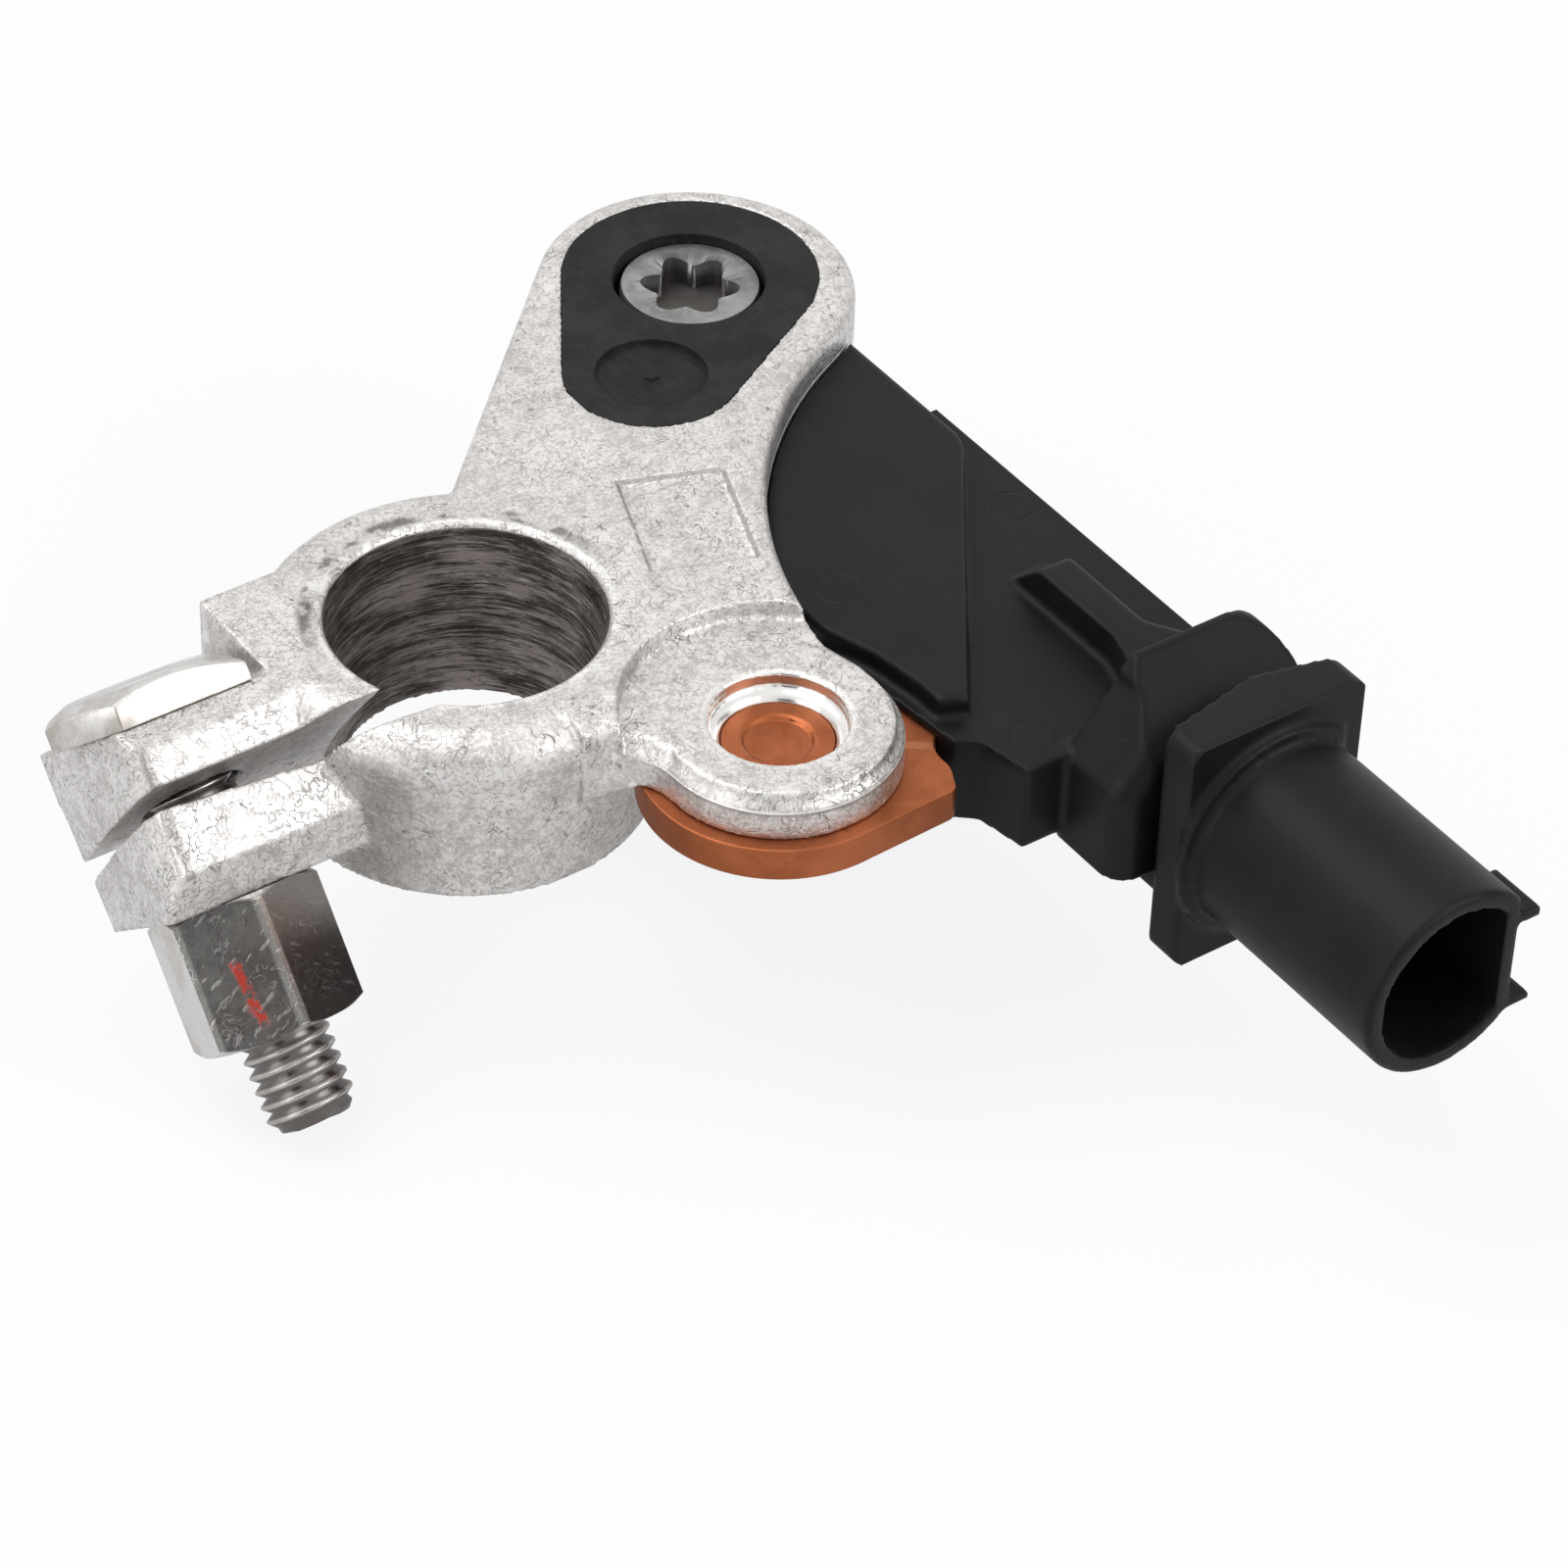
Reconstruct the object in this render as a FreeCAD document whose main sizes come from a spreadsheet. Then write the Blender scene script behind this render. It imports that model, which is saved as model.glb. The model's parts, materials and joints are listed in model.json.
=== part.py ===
"""Battery current sensor: post clamp, shunt and sensor housing with a round socket.

All sizes are in millimetres. The origin lies on the axis of the post bore, in the casting's top
plane. +Z runs up along the bore, +X from the clamp ears through the bore, and the socket's mouth
faces -Y.
"""
import FreeCAD, Part
import math
import os
import re
import Sketcher
from FreeCAD import Placement, Rotation, Vector

SIZES = {
    # Ring and post bore
    "ring_height": 13.2,
    "ring_foot_radius": 12.15,
    "ring_top_radius": 14.1,
    "ring_top_round": 2.4,
    "bore_top_radius": 9.0,
    "bore_foot_radius": 8.27,
    "bore_rim_bevel": 0.3,
    "ring_flare_radius": 4.0,
    # Arm plate
    "plate_thickness": 4.5,
    "plate_round": 1.0,
    "stud_centre_x": 32.4,
    "stud_centre_y": 22.5,
    "tip_radius": 10.4,
    "tip_blend_angle": 60.0,
    "arm_edge_angle": 44.2,
    "waist_x": 17.5,
    "waist_centre_y": -18.4,
    "waist_radius": 33.3,
    "waist_end_y": -11.5,
    "web_radius": 4.0,
    # Riveting eye
    "eye_centre_x": 11.3,
    "eye_centre_y": -18.1,
    "eye_radius": 7.9,
    "eye_bevel": 1.0,
    "pad_radius": 10.0,
    "pad_depth": 1.3,
    "eye_counterbore_radius": 4.45,
    "eye_counterbore_depth": 0.75,
    "eye_bevel_depth": 0.9,
    # Bare panel on the arm
    "panel_centre_x": 17.0,
    "panel_centre_y": 0.3,
    "panel_width": 7.2,
    "panel_length": 9.6,
    "panel_turn": -20.5,
    "panel_depth": 0.3,
    # Clamp ears, whose bolt runs down and forwards
    "bolt_tilt": 50.0,
    "bolt_out": 19.3,
    "bolt_level": 6.0,
    "ear_face_level": 0.6,
    "ear_half_width": 6.6,
    "head_seat": 1.0,
    "nut_seat": 11.2,
    "ear_front": 6.0,
    "ear_top_out": 24.5,
    "ear_ridge_out": 25.3,
    "ear_foot_out": 24.8,
    "ear_ridge_depth": 8.4,
    "ear_end_bevel": 0.5,
    "ear_end_bevel_depth": 1.5,
    "ear_foot_bevel": 1.5,
    "ear_foot_bevel_height": 2.0,
    "slot_tilt": 35.0,
    "slot_start": 2.95,
    "slot_width_outside": 1.2,
    "slot_width_inside": 2.5,
    "bolt_hole_radius": 3.3,
    "lug_out": 13.5,
    "lug_back": 10.4,
    "lug_front": 1.2,
    "lug_depth": 9.0,
    "lug_round": 0.7,
    # Clamp bolt and nut
    "thread_radius": 2.95,
    "bolt_end": 26.3,
    "bolt_end_bevel": 0.6,
    "head_height": 2.4,
    "head_half_flat": 4.6,
    "head_half_width": 5.0,
    "head_point": 2.9,
    "head_top_radius": 4.6,
    "head_bevel_angle": 24.0,
    "head_bevel_shift": 0.8,
    "nut_flats": 10.0,
    "nut_height": 9.0,
    "nut_turn": 6.0,
    "nut_bevel_angle": 30.0,
    "thread_clearance": 0.05,
    # Insulating insert
    "insert_tip_radius": 8.7,
    "insert_foot_x": 23.9,
    "insert_foot_y": 14.6,
    "insert_foot_radius": 5.9,
    "insert_flange_height": 0.8,
    "insert_flange_width": 0.6,
    "head_pocket_radius": 5.6,
    "head_pocket_depth": 3.2,
    "gate_radius": 3.75,
    "gate_depth": 0.45,
    "gate_nub_radius": 0.45,
    # Ground stud
    "stud_head_radius": 4.8,
    "stud_head_height": 2.4,
    "stud_head_round": 0.4,
    "stud_length": 10.0,
    "stud_shank_radius": 3.2,
    "lobe_tip_radius": 2.8,
    "lobe_side_radius": 2.42,
    "lobe_valley_radius": 2.0,
    "lobe_half_angle": 13.0,
    "lobe_depth": 1.7,
    # Shunt
    "shunt_thickness": 2.4,
    "shunt_gap": 0.3,
    "eye_disc_radius": 8.9,
    "stud_disc_radius": 8.9,
    "tail_end_x": 19.9,
    "tail_notch_y": -22.3,
    "tail_corner_y": -26.7,
    "tail_entry_x": 21.6,
    "shunt_left": 23.8,
    "shunt_right": 34.5,
    "shunt_corner_y": -21.3,
    "battery_plate_far": -12.0,
    "resistor_far": -5.0,
    # Copper rivet
    "rivet_radius": 3.6,
    "rivet_top_depth": 2.95,
    "rivet_punch_radius": 2.35,
    "rivet_punch_depth": 0.3,
    "rivet_punch_draft": 0.2,
    "rivet_foot_radius": 5.0,
    "rivet_foot_height": 1.2,
    "rivet_foot_bevel": 0.5,
    # Housing
    "low_deck_depth": 3.9,
    "high_deck_depth": 2.4,
    "housing_gap": 0.1,
    "housing_far_x": 40.6,
    "high_deck_x": 39.0,
    "high_deck_far_y": 13.1,
    "low_deck_far_y": 5.3,
    "low_deck_near_y": -28.3,
    "rib_centre_x": 35.1,
    "rib_width": 2.6,
    "rib_top_depth": 1.4,
    "rib_tip_y": -12.0,
    "rib_rise": 3.0,
    "rib_flare_y": -22.6,
    "rib_flare_width": 9.0,
    # Neck, flange and socket
    "neck_left": 30.2,
    "neck_right": 41.5,
    "neck_top": 1.6,
    "neck_top_length": 0.7,
    "neck_slope_drop": 5.0,
    "neck_far_y": -27.6,
    "neck_round": 3.0,
    "neck_bevel": 1.0,
    "neck_foot_depth": 13.9,
    "lobe_foot_depth": 11.0,
    "lobe_left": 26.2,
    "lobe_near_y": -33.9,
    "lobe_round": 1.8,
    "flange_far_y": -35.0,
    "flange_thick": 2.7,
    "flange_left": 28.2,
    "flange_right": 42.1,
    "flange_foot_depth": 16.0,
    "flange_round": 1.2,
    "flange_back_x": 36.0,
    "flange_back_rise": 1.5,
    "socket_centre_x": 35.1,
    "socket_depth": 7.2,
    "socket_radius": 6.65,
    "socket_flat_x": 40.2,
    "socket_wall": 1.2,
    "socket_mouth_y": -55.4,
    "socket_mouth_bevel": 0.3,
    "collar_radius": 7.6,
    "collar_height": 0.6,
    "fin_length": 4.3,
    "fin_reach": 1.5,
    "fin_thickness": 0.7,
    "fin_high_depth": 4.4,
    "fin_low_depth": 11.3,
    # Inside the housing
    "cavity_left": 25.2,
    "cavity_right": 38.6,
    "cavity_near_y": -26.0,
    "cavity_far_y": 8.5,
    "cover_thickness": 1.1,
    "cover_lip": 0.8,
    "board_gap": 0.7,
    "board_thickness": 0.8,
    "board_margin": 0.3,
    "pin_width": 1.5,
    "pin_thickness": 0.8,
    "pin_spacing": 3.8,
    "pin_end_y": -45.5,
    "pin_tail_y": -23.5,
    "carrier_far_y": -31.0,
    "carrier_radius": 5.2,
    "tap_radius": 1.1,
    "tap_battery_x": 31.0,
    "tap_battery_y": -14.0,
    "tap_ground_x": 31.0,
    "tap_ground_y": -3.0,
    "chip_height": 0.65,
    "chip_clearance": 0.15,
    "sensor_chip_size": 5.0,
    "sensor_chip_x": 30.5,
    "sensor_chip_y": -8.5,
    "bus_chip_length": 5.0,
    "bus_chip_width": 4.0,
    "bus_chip_x": 33.0,
    "bus_chip_y": -18.0,
    "heat_chip_length": 2.9,
    "heat_chip_width": 1.6,
    "heat_chip_x": 28.0,
    "heat_chip_y": -14.5,
    "capacitor_length": 2.0,
    "capacitor_width": 1.25,
    "capacitor_pitch": 3.2,
    "capacitor_x": 36.6,
    "capacitor_start_y": -8.0,
    "resistor_length": 1.6,
    "resistor_width": 0.8,
    "resistor_pitch": 2.4,
    "resistor_x": 28.2,
    "resistor_start_y": -2.5,
}
CAPACITOR_COUNT = 4
RESISTOR_COUNT = 4
# The housing is as deep as the shunt, the board, the chips and the cover under it need
BOARD_FOOT = "(plate_thickness + shunt_thickness + board_gap + board_thickness)"
HOUSING_FOOT = "(%s + chip_height + chip_clearance + cover_thickness)" % BOARD_FOOT
X_AXIS = Vector(1, 0, 0)
Z_AXIS = Vector(0, 0, 1)

doc = FreeCAD.newDocument("battery_current_sensor")


def make_sheet():
    """Put every size in the sheet, each cell with its own alias."""
    sheet = doc.addObject("Spreadsheet::Sheet", "Sizes")
    for row, (alias, value) in enumerate(SIZES.items(), start=1):
        sheet.set("A%d" % row, alias)
        sheet.set("B%d" % row, str(value))
        sheet.setAlias("B%d" % row, alias)
    doc.recompute()
    return sheet


SHEET = make_sheet()


def formula(text):
    """Turn a formula on size names into an expression on the sheet's cells."""
    return re.sub(r"[a-z]+(?:_[a-z]+)+", lambda word: "Sizes." + word.group(0), text)


def num(text):
    """The value of a formula on size names."""
    return float(SHEET.evalExpression(formula(text)))


def point(x, y, z="0"):
    """A point whose coordinates are formulas."""
    return Vector(num(x), num(y), num(z))


def bind(thing, **formulas):
    """Tie properties of an object to the sheet."""
    for name, text in formulas.items():
        thing.setExpression(name, formula(text))


def place(thing, at=("0", "0", "0"), axis=None, angle="0"):
    """Tie an object's placement to the sheet."""
    if axis is not None:
        thing.Placement = Placement(Vector(), Rotation(axis, num(angle)))
        thing.setExpression("Placement.Rotation.Angle", formula(angle))
    for letter, text in zip("xyz", at):
        thing.setExpression("Placement.Base." + letter, formula(text))


def solid(kind, name, at=("0", "0", "0"), axis=None, angle="0", **sizes):
    """A Part primitive whose sizes and place are tied to the sheet."""
    thing = doc.addObject("Part::" + kind, name)
    bind(thing, **sizes)
    place(thing, at, axis, angle)
    return thing


def fuse(name, parts):
    """One solid from several that touch or overlap."""
    joined = doc.addObject("Part::MultiFuse", name)
    joined.Shapes = parts
    joined.Refine = True
    return joined


def cut(name, base, tools):
    """The base less one tool after another."""
    result = base
    for index, tool in enumerate(tools, start=1):
        step = doc.addObject("Part::Cut", name if index == len(tools) else "%s_%d" % (name, index))
        step.Base = result
        step.Tool = tool
        step.Refine = True
        result = step
    return result


def common(name, first, second):
    """What two solids share."""
    shared = doc.addObject("Part::MultiCommon", name)
    shared.Shapes = [first, second]
    return shared


def shaped(name, shape):
    """A feature that holds an outline or a solid worked out from the sheet's values."""
    thing = doc.addObject("Part::Feature", name)
    thing.Shape = shape
    return thing


def raised(name, outline, foot, height):
    """An outline in the XY plane made into a solid of the given height."""
    body = doc.addObject("Part::Extrusion", name)
    body.Base = outline
    body.DirMode = "Custom"
    body.Dir = Z_AXIS
    body.Solid = True
    bind(body, LengthFwd=height)
    place(body, ("0", "0", foot))
    return body


def edges_where(shape, test):
    """Numbers of the edges whose middle point passes the test."""
    found = []
    for index, edge in enumerate(shape.Edges, start=1):
        middle = edge.valueAt((edge.FirstParameter + edge.LastParameter) / 2)
        if test(edge, middle):
            found.append(index)
    return found


def eased(kind, name, base, size, test):
    """A fillet or chamfer on the edges that pass the test."""
    doc.recompute()
    step = doc.addObject("Part::" + kind, name)
    step.Base = base
    step.Edges = [(index, size, size) for index in edges_where(base.Shape, test)]
    return step


def face_of(edges):
    """A flat face from edges given in any order."""
    return Part.Face(Part.Wire(Part.__sortEdges__(edges)))


def polygon(corners):
    """A flat face from corner points."""
    return Part.Face(Part.makePolygon(corners + [corners[0]]))


def on_circle(centre, radius, degrees):
    """A point on a level circle."""
    turn = math.radians(degrees)
    return centre + Vector(radius * math.cos(turn), radius * math.sin(turn), 0)


def heading(vector):
    """The direction of a level vector, in degrees."""
    return math.degrees(math.atan2(vector.y, vector.x))


def arc(centre, radius, start, end):
    """A level arc that runs anticlockwise from one direction to another."""
    middle = (start + end) / 2
    points = [on_circle(centre, radius, turn) for turn in (start, middle, end)]
    return Part.Arc(*points).toShape()


def two_circle_outline(first, first_radius, second, second_radius):
    """The outline of two level discs and the two straight edges that touch both."""
    line = second - first
    lean = math.degrees(math.acos((first_radius - second_radius) / line.Length))
    ahead = heading(line)
    edges = [
        arc(first, first_radius, ahead + lean, ahead + 360 - lean),
        arc(second, second_radius, ahead - lean, ahead + lean),
    ]
    for side in (lean, -lean):
        start = on_circle(first, first_radius, ahead + side)
        edges.append(Part.makeLine(start, on_circle(second, second_radius, ahead + side)))
    return face_of(edges)


# Driving points that several pieces share
RING = Vector(0, 0, 0)
STUD = point("stud_centre_x", "stud_centre_y")
EYE = point("eye_centre_x", "eye_centre_y")
INSERT_FOOT = point("insert_foot_x", "insert_foot_y")
BOLT_FRAME = {
    "axis": X_AXIS,
    "angle": "90 + bolt_tilt",
}


def bolt_place(along):
    """Coordinates of a point on the bolt's axis, measured along it from the slanting zero plane."""
    return (
        "-bolt_out",
        "bolt_level * sin(bolt_tilt) - (%s) * cos(bolt_tilt)" % along,
        "-bolt_level * cos(bolt_tilt) - (%s) * sin(bolt_tilt)" % along,
    )


def tip_lobe():
    """Centre and radius of the arm tip's wider side, which meets the round waist smoothly."""
    waist = point("waist_x + waist_radius", "waist_centre_y")
    tip_radius = num("tip_radius")
    spread = waist - STUD
    towards = on_circle(Vector(), 1, num("tip_blend_angle"))
    reach = num("waist_radius") + tip_radius
    extra = (spread.Length ** 2 - reach ** 2) / (2 * (reach - spread.dot(towards)))
    return STUD - towards * extra, tip_radius + extra


def plate_edges():
    """Outline of the arm and its web, split into what shows and what the ring hides."""
    waist = point("waist_x + waist_radius", "waist_centre_y")
    waist_radius = num("waist_radius")
    eye_radius = num("eye_radius")
    ring_radius = num("ring_top_radius")
    web_radius = num("web_radius")
    lobe, lobe_radius = tip_lobe()
    blend = num("tip_blend_angle")
    left = num("arm_edge_angle") + 90

    # Near web: a hollow arc that touches the ring and the eye from outside
    to_ring = ring_radius + web_radius
    to_eye = eye_radius + web_radius
    span = EYE.Length
    along = (to_ring ** 2 - to_eye ** 2 + span ** 2) / (2 * span)
    aside = math.sqrt(to_ring ** 2 - along ** 2)
    ahead = EYE * (1 / span)
    web = ahead * along + Vector(ahead.y, -ahead.x, 0) * aside
    web_at_ring = heading(RING - web)
    web_at_eye = heading(EYE - web)

    # Waist: from the arm tip's wider side to a straight edge that touches the eye
    waist_top = heading(lobe - waist)
    drop = (num("waist_end_y") - waist.y) / waist_radius
    waist_foot = 180 - math.degrees(math.asin(drop))
    waist_end = on_circle(waist, waist_radius, waist_foot)
    to_end = waist_end - EYE
    touch = heading(to_end) - math.degrees(math.acos(eye_radius / to_end.Length))

    tip_left = on_circle(STUD, num("tip_radius"), left)
    down_left = on_circle(Vector(), 1, num("arm_edge_angle") + 180)
    foot = tip_left.dot(down_left) * -1
    arm_root = tip_left + down_left * (foot + num("bore_top_radius") / 2)
    web_start = on_circle(web, web_radius, web_at_ring)
    web_root = web_start * (num("bore_top_radius") / web_start.Length)

    shown = [
        arc(web, web_radius, web_at_eye, web_at_ring),
        arc(EYE, eye_radius, heading(web - EYE), touch + 360),
        Part.makeLine(on_circle(EYE, eye_radius, touch), waist_end),
        arc(waist, waist_radius, waist_top, waist_foot),
        arc(lobe, lobe_radius, heading(waist - lobe), blend),
        arc(STUD, num("tip_radius"), blend, left),
        Part.makeLine(tip_left, arm_root),
    ]
    hidden = [
        Part.makeLine(arm_root, RING),
        Part.makeLine(RING, web_root),
        Part.makeLine(web_root, web_start),
    ]
    return shown, hidden


def plate_outline():
    """The arm's flat outline as one face."""
    shown, hidden = plate_edges()
    return face_of(shown + hidden)


def across_bolt(out, along, shift=0.0):
    """A point measured out of the ears' front face, along the bolt, and along X."""
    tilt = math.radians(num("bolt_tilt"))
    return Vector(shift, -out * math.sin(tilt) - along * math.cos(tilt),
                  out * math.cos(tilt) - along * math.sin(tilt))


def ear_end_cutter():
    """What the bevel between the ears' front face and their drafted outer end takes off."""
    face = num("ear_face_level")
    top = num("-head_seat")
    bevel = num("ear_end_bevel")
    depth = num("ear_end_bevel_depth")
    lean = num("(ear_ridge_out - ear_top_out) / ear_ridge_depth")

    def at_end(out, inwards):
        spot = across_bolt(out, top)
        return Vector(-num("ear_top_out") + lean * spot.z + inwards, spot.y, spot.z)

    corners = [
        at_end(face, bevel),
        at_end(face + depth, bevel * 2),
        at_end(face + depth, -bevel * 4),
        at_end(face - depth, -bevel * 4),
        at_end(face - depth, 0),
    ]
    down = across_bolt(0, 1)
    reach = (down + X_AXIS * lean * down.z) * num("nut_seat + head_seat")
    return shaped("ear_end_cutter", polygon(corners).extrude(reach))


def ear_block():
    """The block that the bolt pulls together, with its drafted outer end and bevelled edges."""
    face = num("ear_face_level")
    back = num("ear_face_level - ear_half_width * 2")
    top = num("-head_seat")
    foot = num("nut_seat")
    bar_end = -num("ear_ridge_out") - 1
    section = polygon([
        across_bolt(face, top, bar_end),
        across_bolt(face, foot - num("ear_foot_bevel_height"), bar_end),
        across_bolt(face - num("ear_foot_bevel"), foot, bar_end),
        across_bolt(back, foot, bar_end),
        across_bolt(back, top, bar_end),
    ])
    bar = shaped("ear_bar", section.extrude(X_AXIS * num("ear_ridge_out")))
    side = [
        point("-ear_top_out", "-ear_front", "0"),
        point("-ear_ridge_out", "-ear_front", "-ear_ridge_depth"),
        point("-ear_foot_out", "-ear_front", "-ear_ridge_depth * 2"),
        point("-bore_top_radius", "-ear_front", "-ear_ridge_depth * 2"),
        point("-bore_top_radius", "-ear_front", "0"),
    ]
    envelope = shaped("ear_envelope", polygon(side).extrude(Vector(0, num("ear_front * 4"), 0)))
    return cut("ear_block", common("ear_rough", bar, envelope), [ear_end_cutter()])


def lug():
    """The wall beside the bolt head, which keeps the head from turning."""
    wall = solid("Box", "lug_wall", ("-lug_out", "lug_front", "-lug_depth"),
                 Length="lug_out", Width="lug_back - lug_front", Height="lug_depth")
    out = num("lug_out")
    back = num("lug_back")
    return eased("Fillet", "lug", wall, num("lug_round"),
                 lambda edge, middle: abs(middle.y - back) < 0.01 and (abs(middle.z) < 0.01
                                                                       or abs(middle.x + out) < 0.01))


def ring():
    """The drafted boss round the post, rounded at its top edge."""
    boss = solid("Cone", "ring_boss", ("0", "0", "-ring_height"),
                 Radius1="ring_foot_radius", Radius2="ring_top_radius", Height="ring_height")
    return eased("Fillet", "ring", boss, num("ring_top_round"),
                 lambda edge, middle: abs(middle.z) < 0.01 and edge.isClosed())


def flare(outline):
    """The hollow sweep between the boss and the underside of the arm."""
    sweep = num("ring_flare_radius")
    top = -num("plate_thickness")
    wall = num("ring_foot_radius")
    outer = wall + sweep * 1.2
    low = top - sweep
    hollow = Part.Arc(Vector(wall + 0.1, 0, low), Vector(wall + sweep * 0.4, 0, top - sweep * 0.35),
                      Vector(outer, 0, top)).toShape()
    section = face_of([
        hollow,
        Part.makeLine(Vector(outer, 0, top), Vector(wall - 1, 0, top)),
        Part.makeLine(Vector(wall - 1, 0, top), Vector(wall - 1, 0, low)),
        Part.makeLine(Vector(wall - 1, 0, low), Vector(wall + 0.1, 0, low)),
    ])
    turned = shaped("flare_turned", section.revolve(Vector(), Z_AXIS, 360))
    under = raised("flare_limit", outline, "-plate_thickness - ring_flare_radius", "ring_flare_radius")
    disc_space = solid("Cylinder", "eye_disc_space",
                       ("eye_centre_x", "eye_centre_y", "-plate_thickness - ring_flare_radius - 1"),
                       Radius="eye_disc_radius + shunt_gap", Height="ring_flare_radius + 1")
    return cut("flare", common("flare_full", turned, under), [disc_space])


def arm(outline):
    """The arm plate with its top edges rounded, apart from the eye, which the pad lowers."""
    plate = raised("arm_plate", outline, "-plate_thickness", "plate_thickness")
    web_edge, _, _, *arm_side = plate_edges()[0]
    middles = [edge.valueAt((edge.FirstParameter + edge.LastParameter) / 2)
               for edge in [web_edge] + arm_side]

    def on_rim(edge, middle):
        return abs(middle.z) < 0.01 and min(middle.distanceToPoint(spot) for spot in middles) < 0.05

    return eased("Fillet", "arm", plate, num("plate_round"), on_rim)


def bore():
    """The tapered hole for the post, with a small bevel at its rim."""
    taper = solid("Cone", "bore_taper", ("0", "0", "-ring_height"),
                  Radius1="bore_foot_radius", Radius2="bore_top_radius", Height="ring_height")
    rim = solid("Cone", "bore_rim", ("0", "0", "-bore_rim_bevel"),
                Radius1="bore_top_radius", Radius2="bore_top_radius + bore_rim_bevel",
                Height="bore_rim_bevel")
    # Below the ring the ears follow the ring's outside
    below = solid("Cylinder", "ear_inner_end", ("0", "0", "-ring_height * 2"),
                  Radius="ring_foot_radius", Height="ring_height")
    return fuse("bore", [taper, rim, below])


def eye_cutters():
    """The recessed pad, the counterbore, the bevel and the rivet hole."""
    pad = solid("Cylinder", "pad_recess", ("eye_centre_x", "eye_centre_y", "-pad_depth"),
                Radius="pad_radius", Height="pad_depth * 2")
    counterbore = solid("Cylinder", "eye_counterbore",
                        ("eye_centre_x", "eye_centre_y", "-pad_depth - eye_counterbore_depth"),
                        Radius="eye_counterbore_radius", Height="eye_counterbore_depth * 2")
    bevel = solid("Cone", "eye_hole_bevel",
                  ("eye_centre_x", "eye_centre_y",
                   "-pad_depth - eye_counterbore_depth - eye_bevel_depth"),
                  Radius1="rivet_radius", Radius2="eye_counterbore_radius", Height="eye_bevel_depth")
    hole = solid("Cylinder", "eye_hole", ("eye_centre_x", "eye_centre_y", "-plate_thickness * 2"),
                 Radius="rivet_radius", Height="plate_thickness * 2")
    return [pad, counterbore, bevel, hole]


def panel_cutter():
    """The shallow bare panel on the arm."""
    return solid("Box", "panel_recess",
                 ("panel_centre_x - panel_width / 2 * cos(panel_turn) + panel_length / 2 * sin(panel_turn)",
                  "panel_centre_y - panel_width / 2 * sin(panel_turn) - panel_length / 2 * cos(panel_turn)",
                  "-panel_depth"),
                 axis=Vector(0, 0, -1), angle="-panel_turn",
                 Length="panel_width", Width="panel_length", Height="panel_depth * 2")


def insert_cutters():
    """The opening in the arm that the insert fills, and the rebate for its flange."""
    opening = raised("insert_opening", insert_outline("insert_opening_outline", 0),
                     "-plate_thickness - 1", "plate_thickness + 2")
    rebate = raised("insert_rebate", insert_outline("insert_rebate_outline", num("insert_flange_width")),
                    "-plate_thickness - 1", "insert_flange_height + 1")
    return [opening, rebate]


def insert_outline(name, margin):
    """The egg-shaped outline of the insert, grown by a margin."""
    return shaped(name, two_circle_outline(STUD, num("insert_tip_radius") + margin,
                                           INSERT_FOOT, num("insert_foot_radius") + margin))


def slot():
    """The wedge-shaped gap between the ears, narrower at their outer end."""
    outer = num("ear_ridge_out")
    widening = num("(slot_width_inside - slot_width_outside) / (ear_ridge_out - bore_foot_radius)")
    start = num("slot_start")

    def corner(x, depth):
        tilt = math.radians(num("slot_tilt"))
        return Vector(x, -depth * math.cos(tilt) - outer * math.sin(tilt),
                      -depth * math.sin(tilt) + outer * math.cos(tilt))

    # The wedge reaches past the outer end and ends over the bore
    past = outer * 1.2
    outline = polygon([
        corner(-past, start),
        corner(0, start),
        corner(0, start + num("slot_width_outside") + widening * outer),
        corner(-past, start + num("slot_width_outside") - widening * (past - outer)),
    ])
    along = corner(0, 0) * -2
    return shaped("slot", outline.extrude(along))


def terminal_casting():
    """Ring, split ears, lug, arm and eye: one die casting."""
    outline = shaped("plate_outline", plate_outline())
    rough = fuse("casting_rough", [ring(), arm(outline), flare(outline), ear_block(), lug()])
    hole = solid("Cylinder", "bolt_hole", bolt_place("-head_seat * 2"), Radius="bolt_hole_radius",
                 Height="nut_seat * 2", **BOLT_FRAME)
    tools = [bore(), slot(), hole, panel_cutter()] + eye_cutters() + insert_cutters()
    body = cut("casting_cut", rough, tools)
    depth = -num("pad_depth")
    reach = num("eye_radius")
    return eased("Chamfer", "terminal_casting", body, num("eye_bevel"),
                 lambda edge, middle: abs(middle.z - depth) < 0.01
                 and abs(middle.distanceToPoint(EYE + Vector(0, 0, depth)) - reach) < 0.3)


def part_body(name):
    """A body whose features are sketched on its own origin planes."""
    return doc.addObject("PartDesign::Body", name)


def sketch_on(body, role, name):
    """An empty sketch on one of the body's origin planes."""
    plane = next(item for item in body.Origin.OriginFeatures if item.Role == role)
    sketch = body.newObject("Sketcher::SketchObject", name)
    sketch.AttachmentSupport = [(plane, "")]
    sketch.MapMode = "FlatFace"
    return sketch


def add_outline(sketch, corners):
    """A closed outline of straight edges whose corners are formulas."""
    points = [point(x, y) for x, y in corners]
    count = len(points)
    for index in range(count):
        sketch.addGeometry(Part.LineSegment(points[index], points[(index + 1) % count]), False)
    for index in range(count):
        following = (index + 1) % count
        sketch.addConstraint(Sketcher.Constraint("Coincident", index, 2, following, 1))
    for index, (x, y) in enumerate(corners):
        for kind, text, value in (("DistanceX", x, points[index].x), ("DistanceY", y, points[index].y)):
            number = sketch.addConstraint(Sketcher.Constraint(kind, -1, 1, index, 1, value))
            sketch.setExpression("Constraints[%d]" % number, formula(text))


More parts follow.
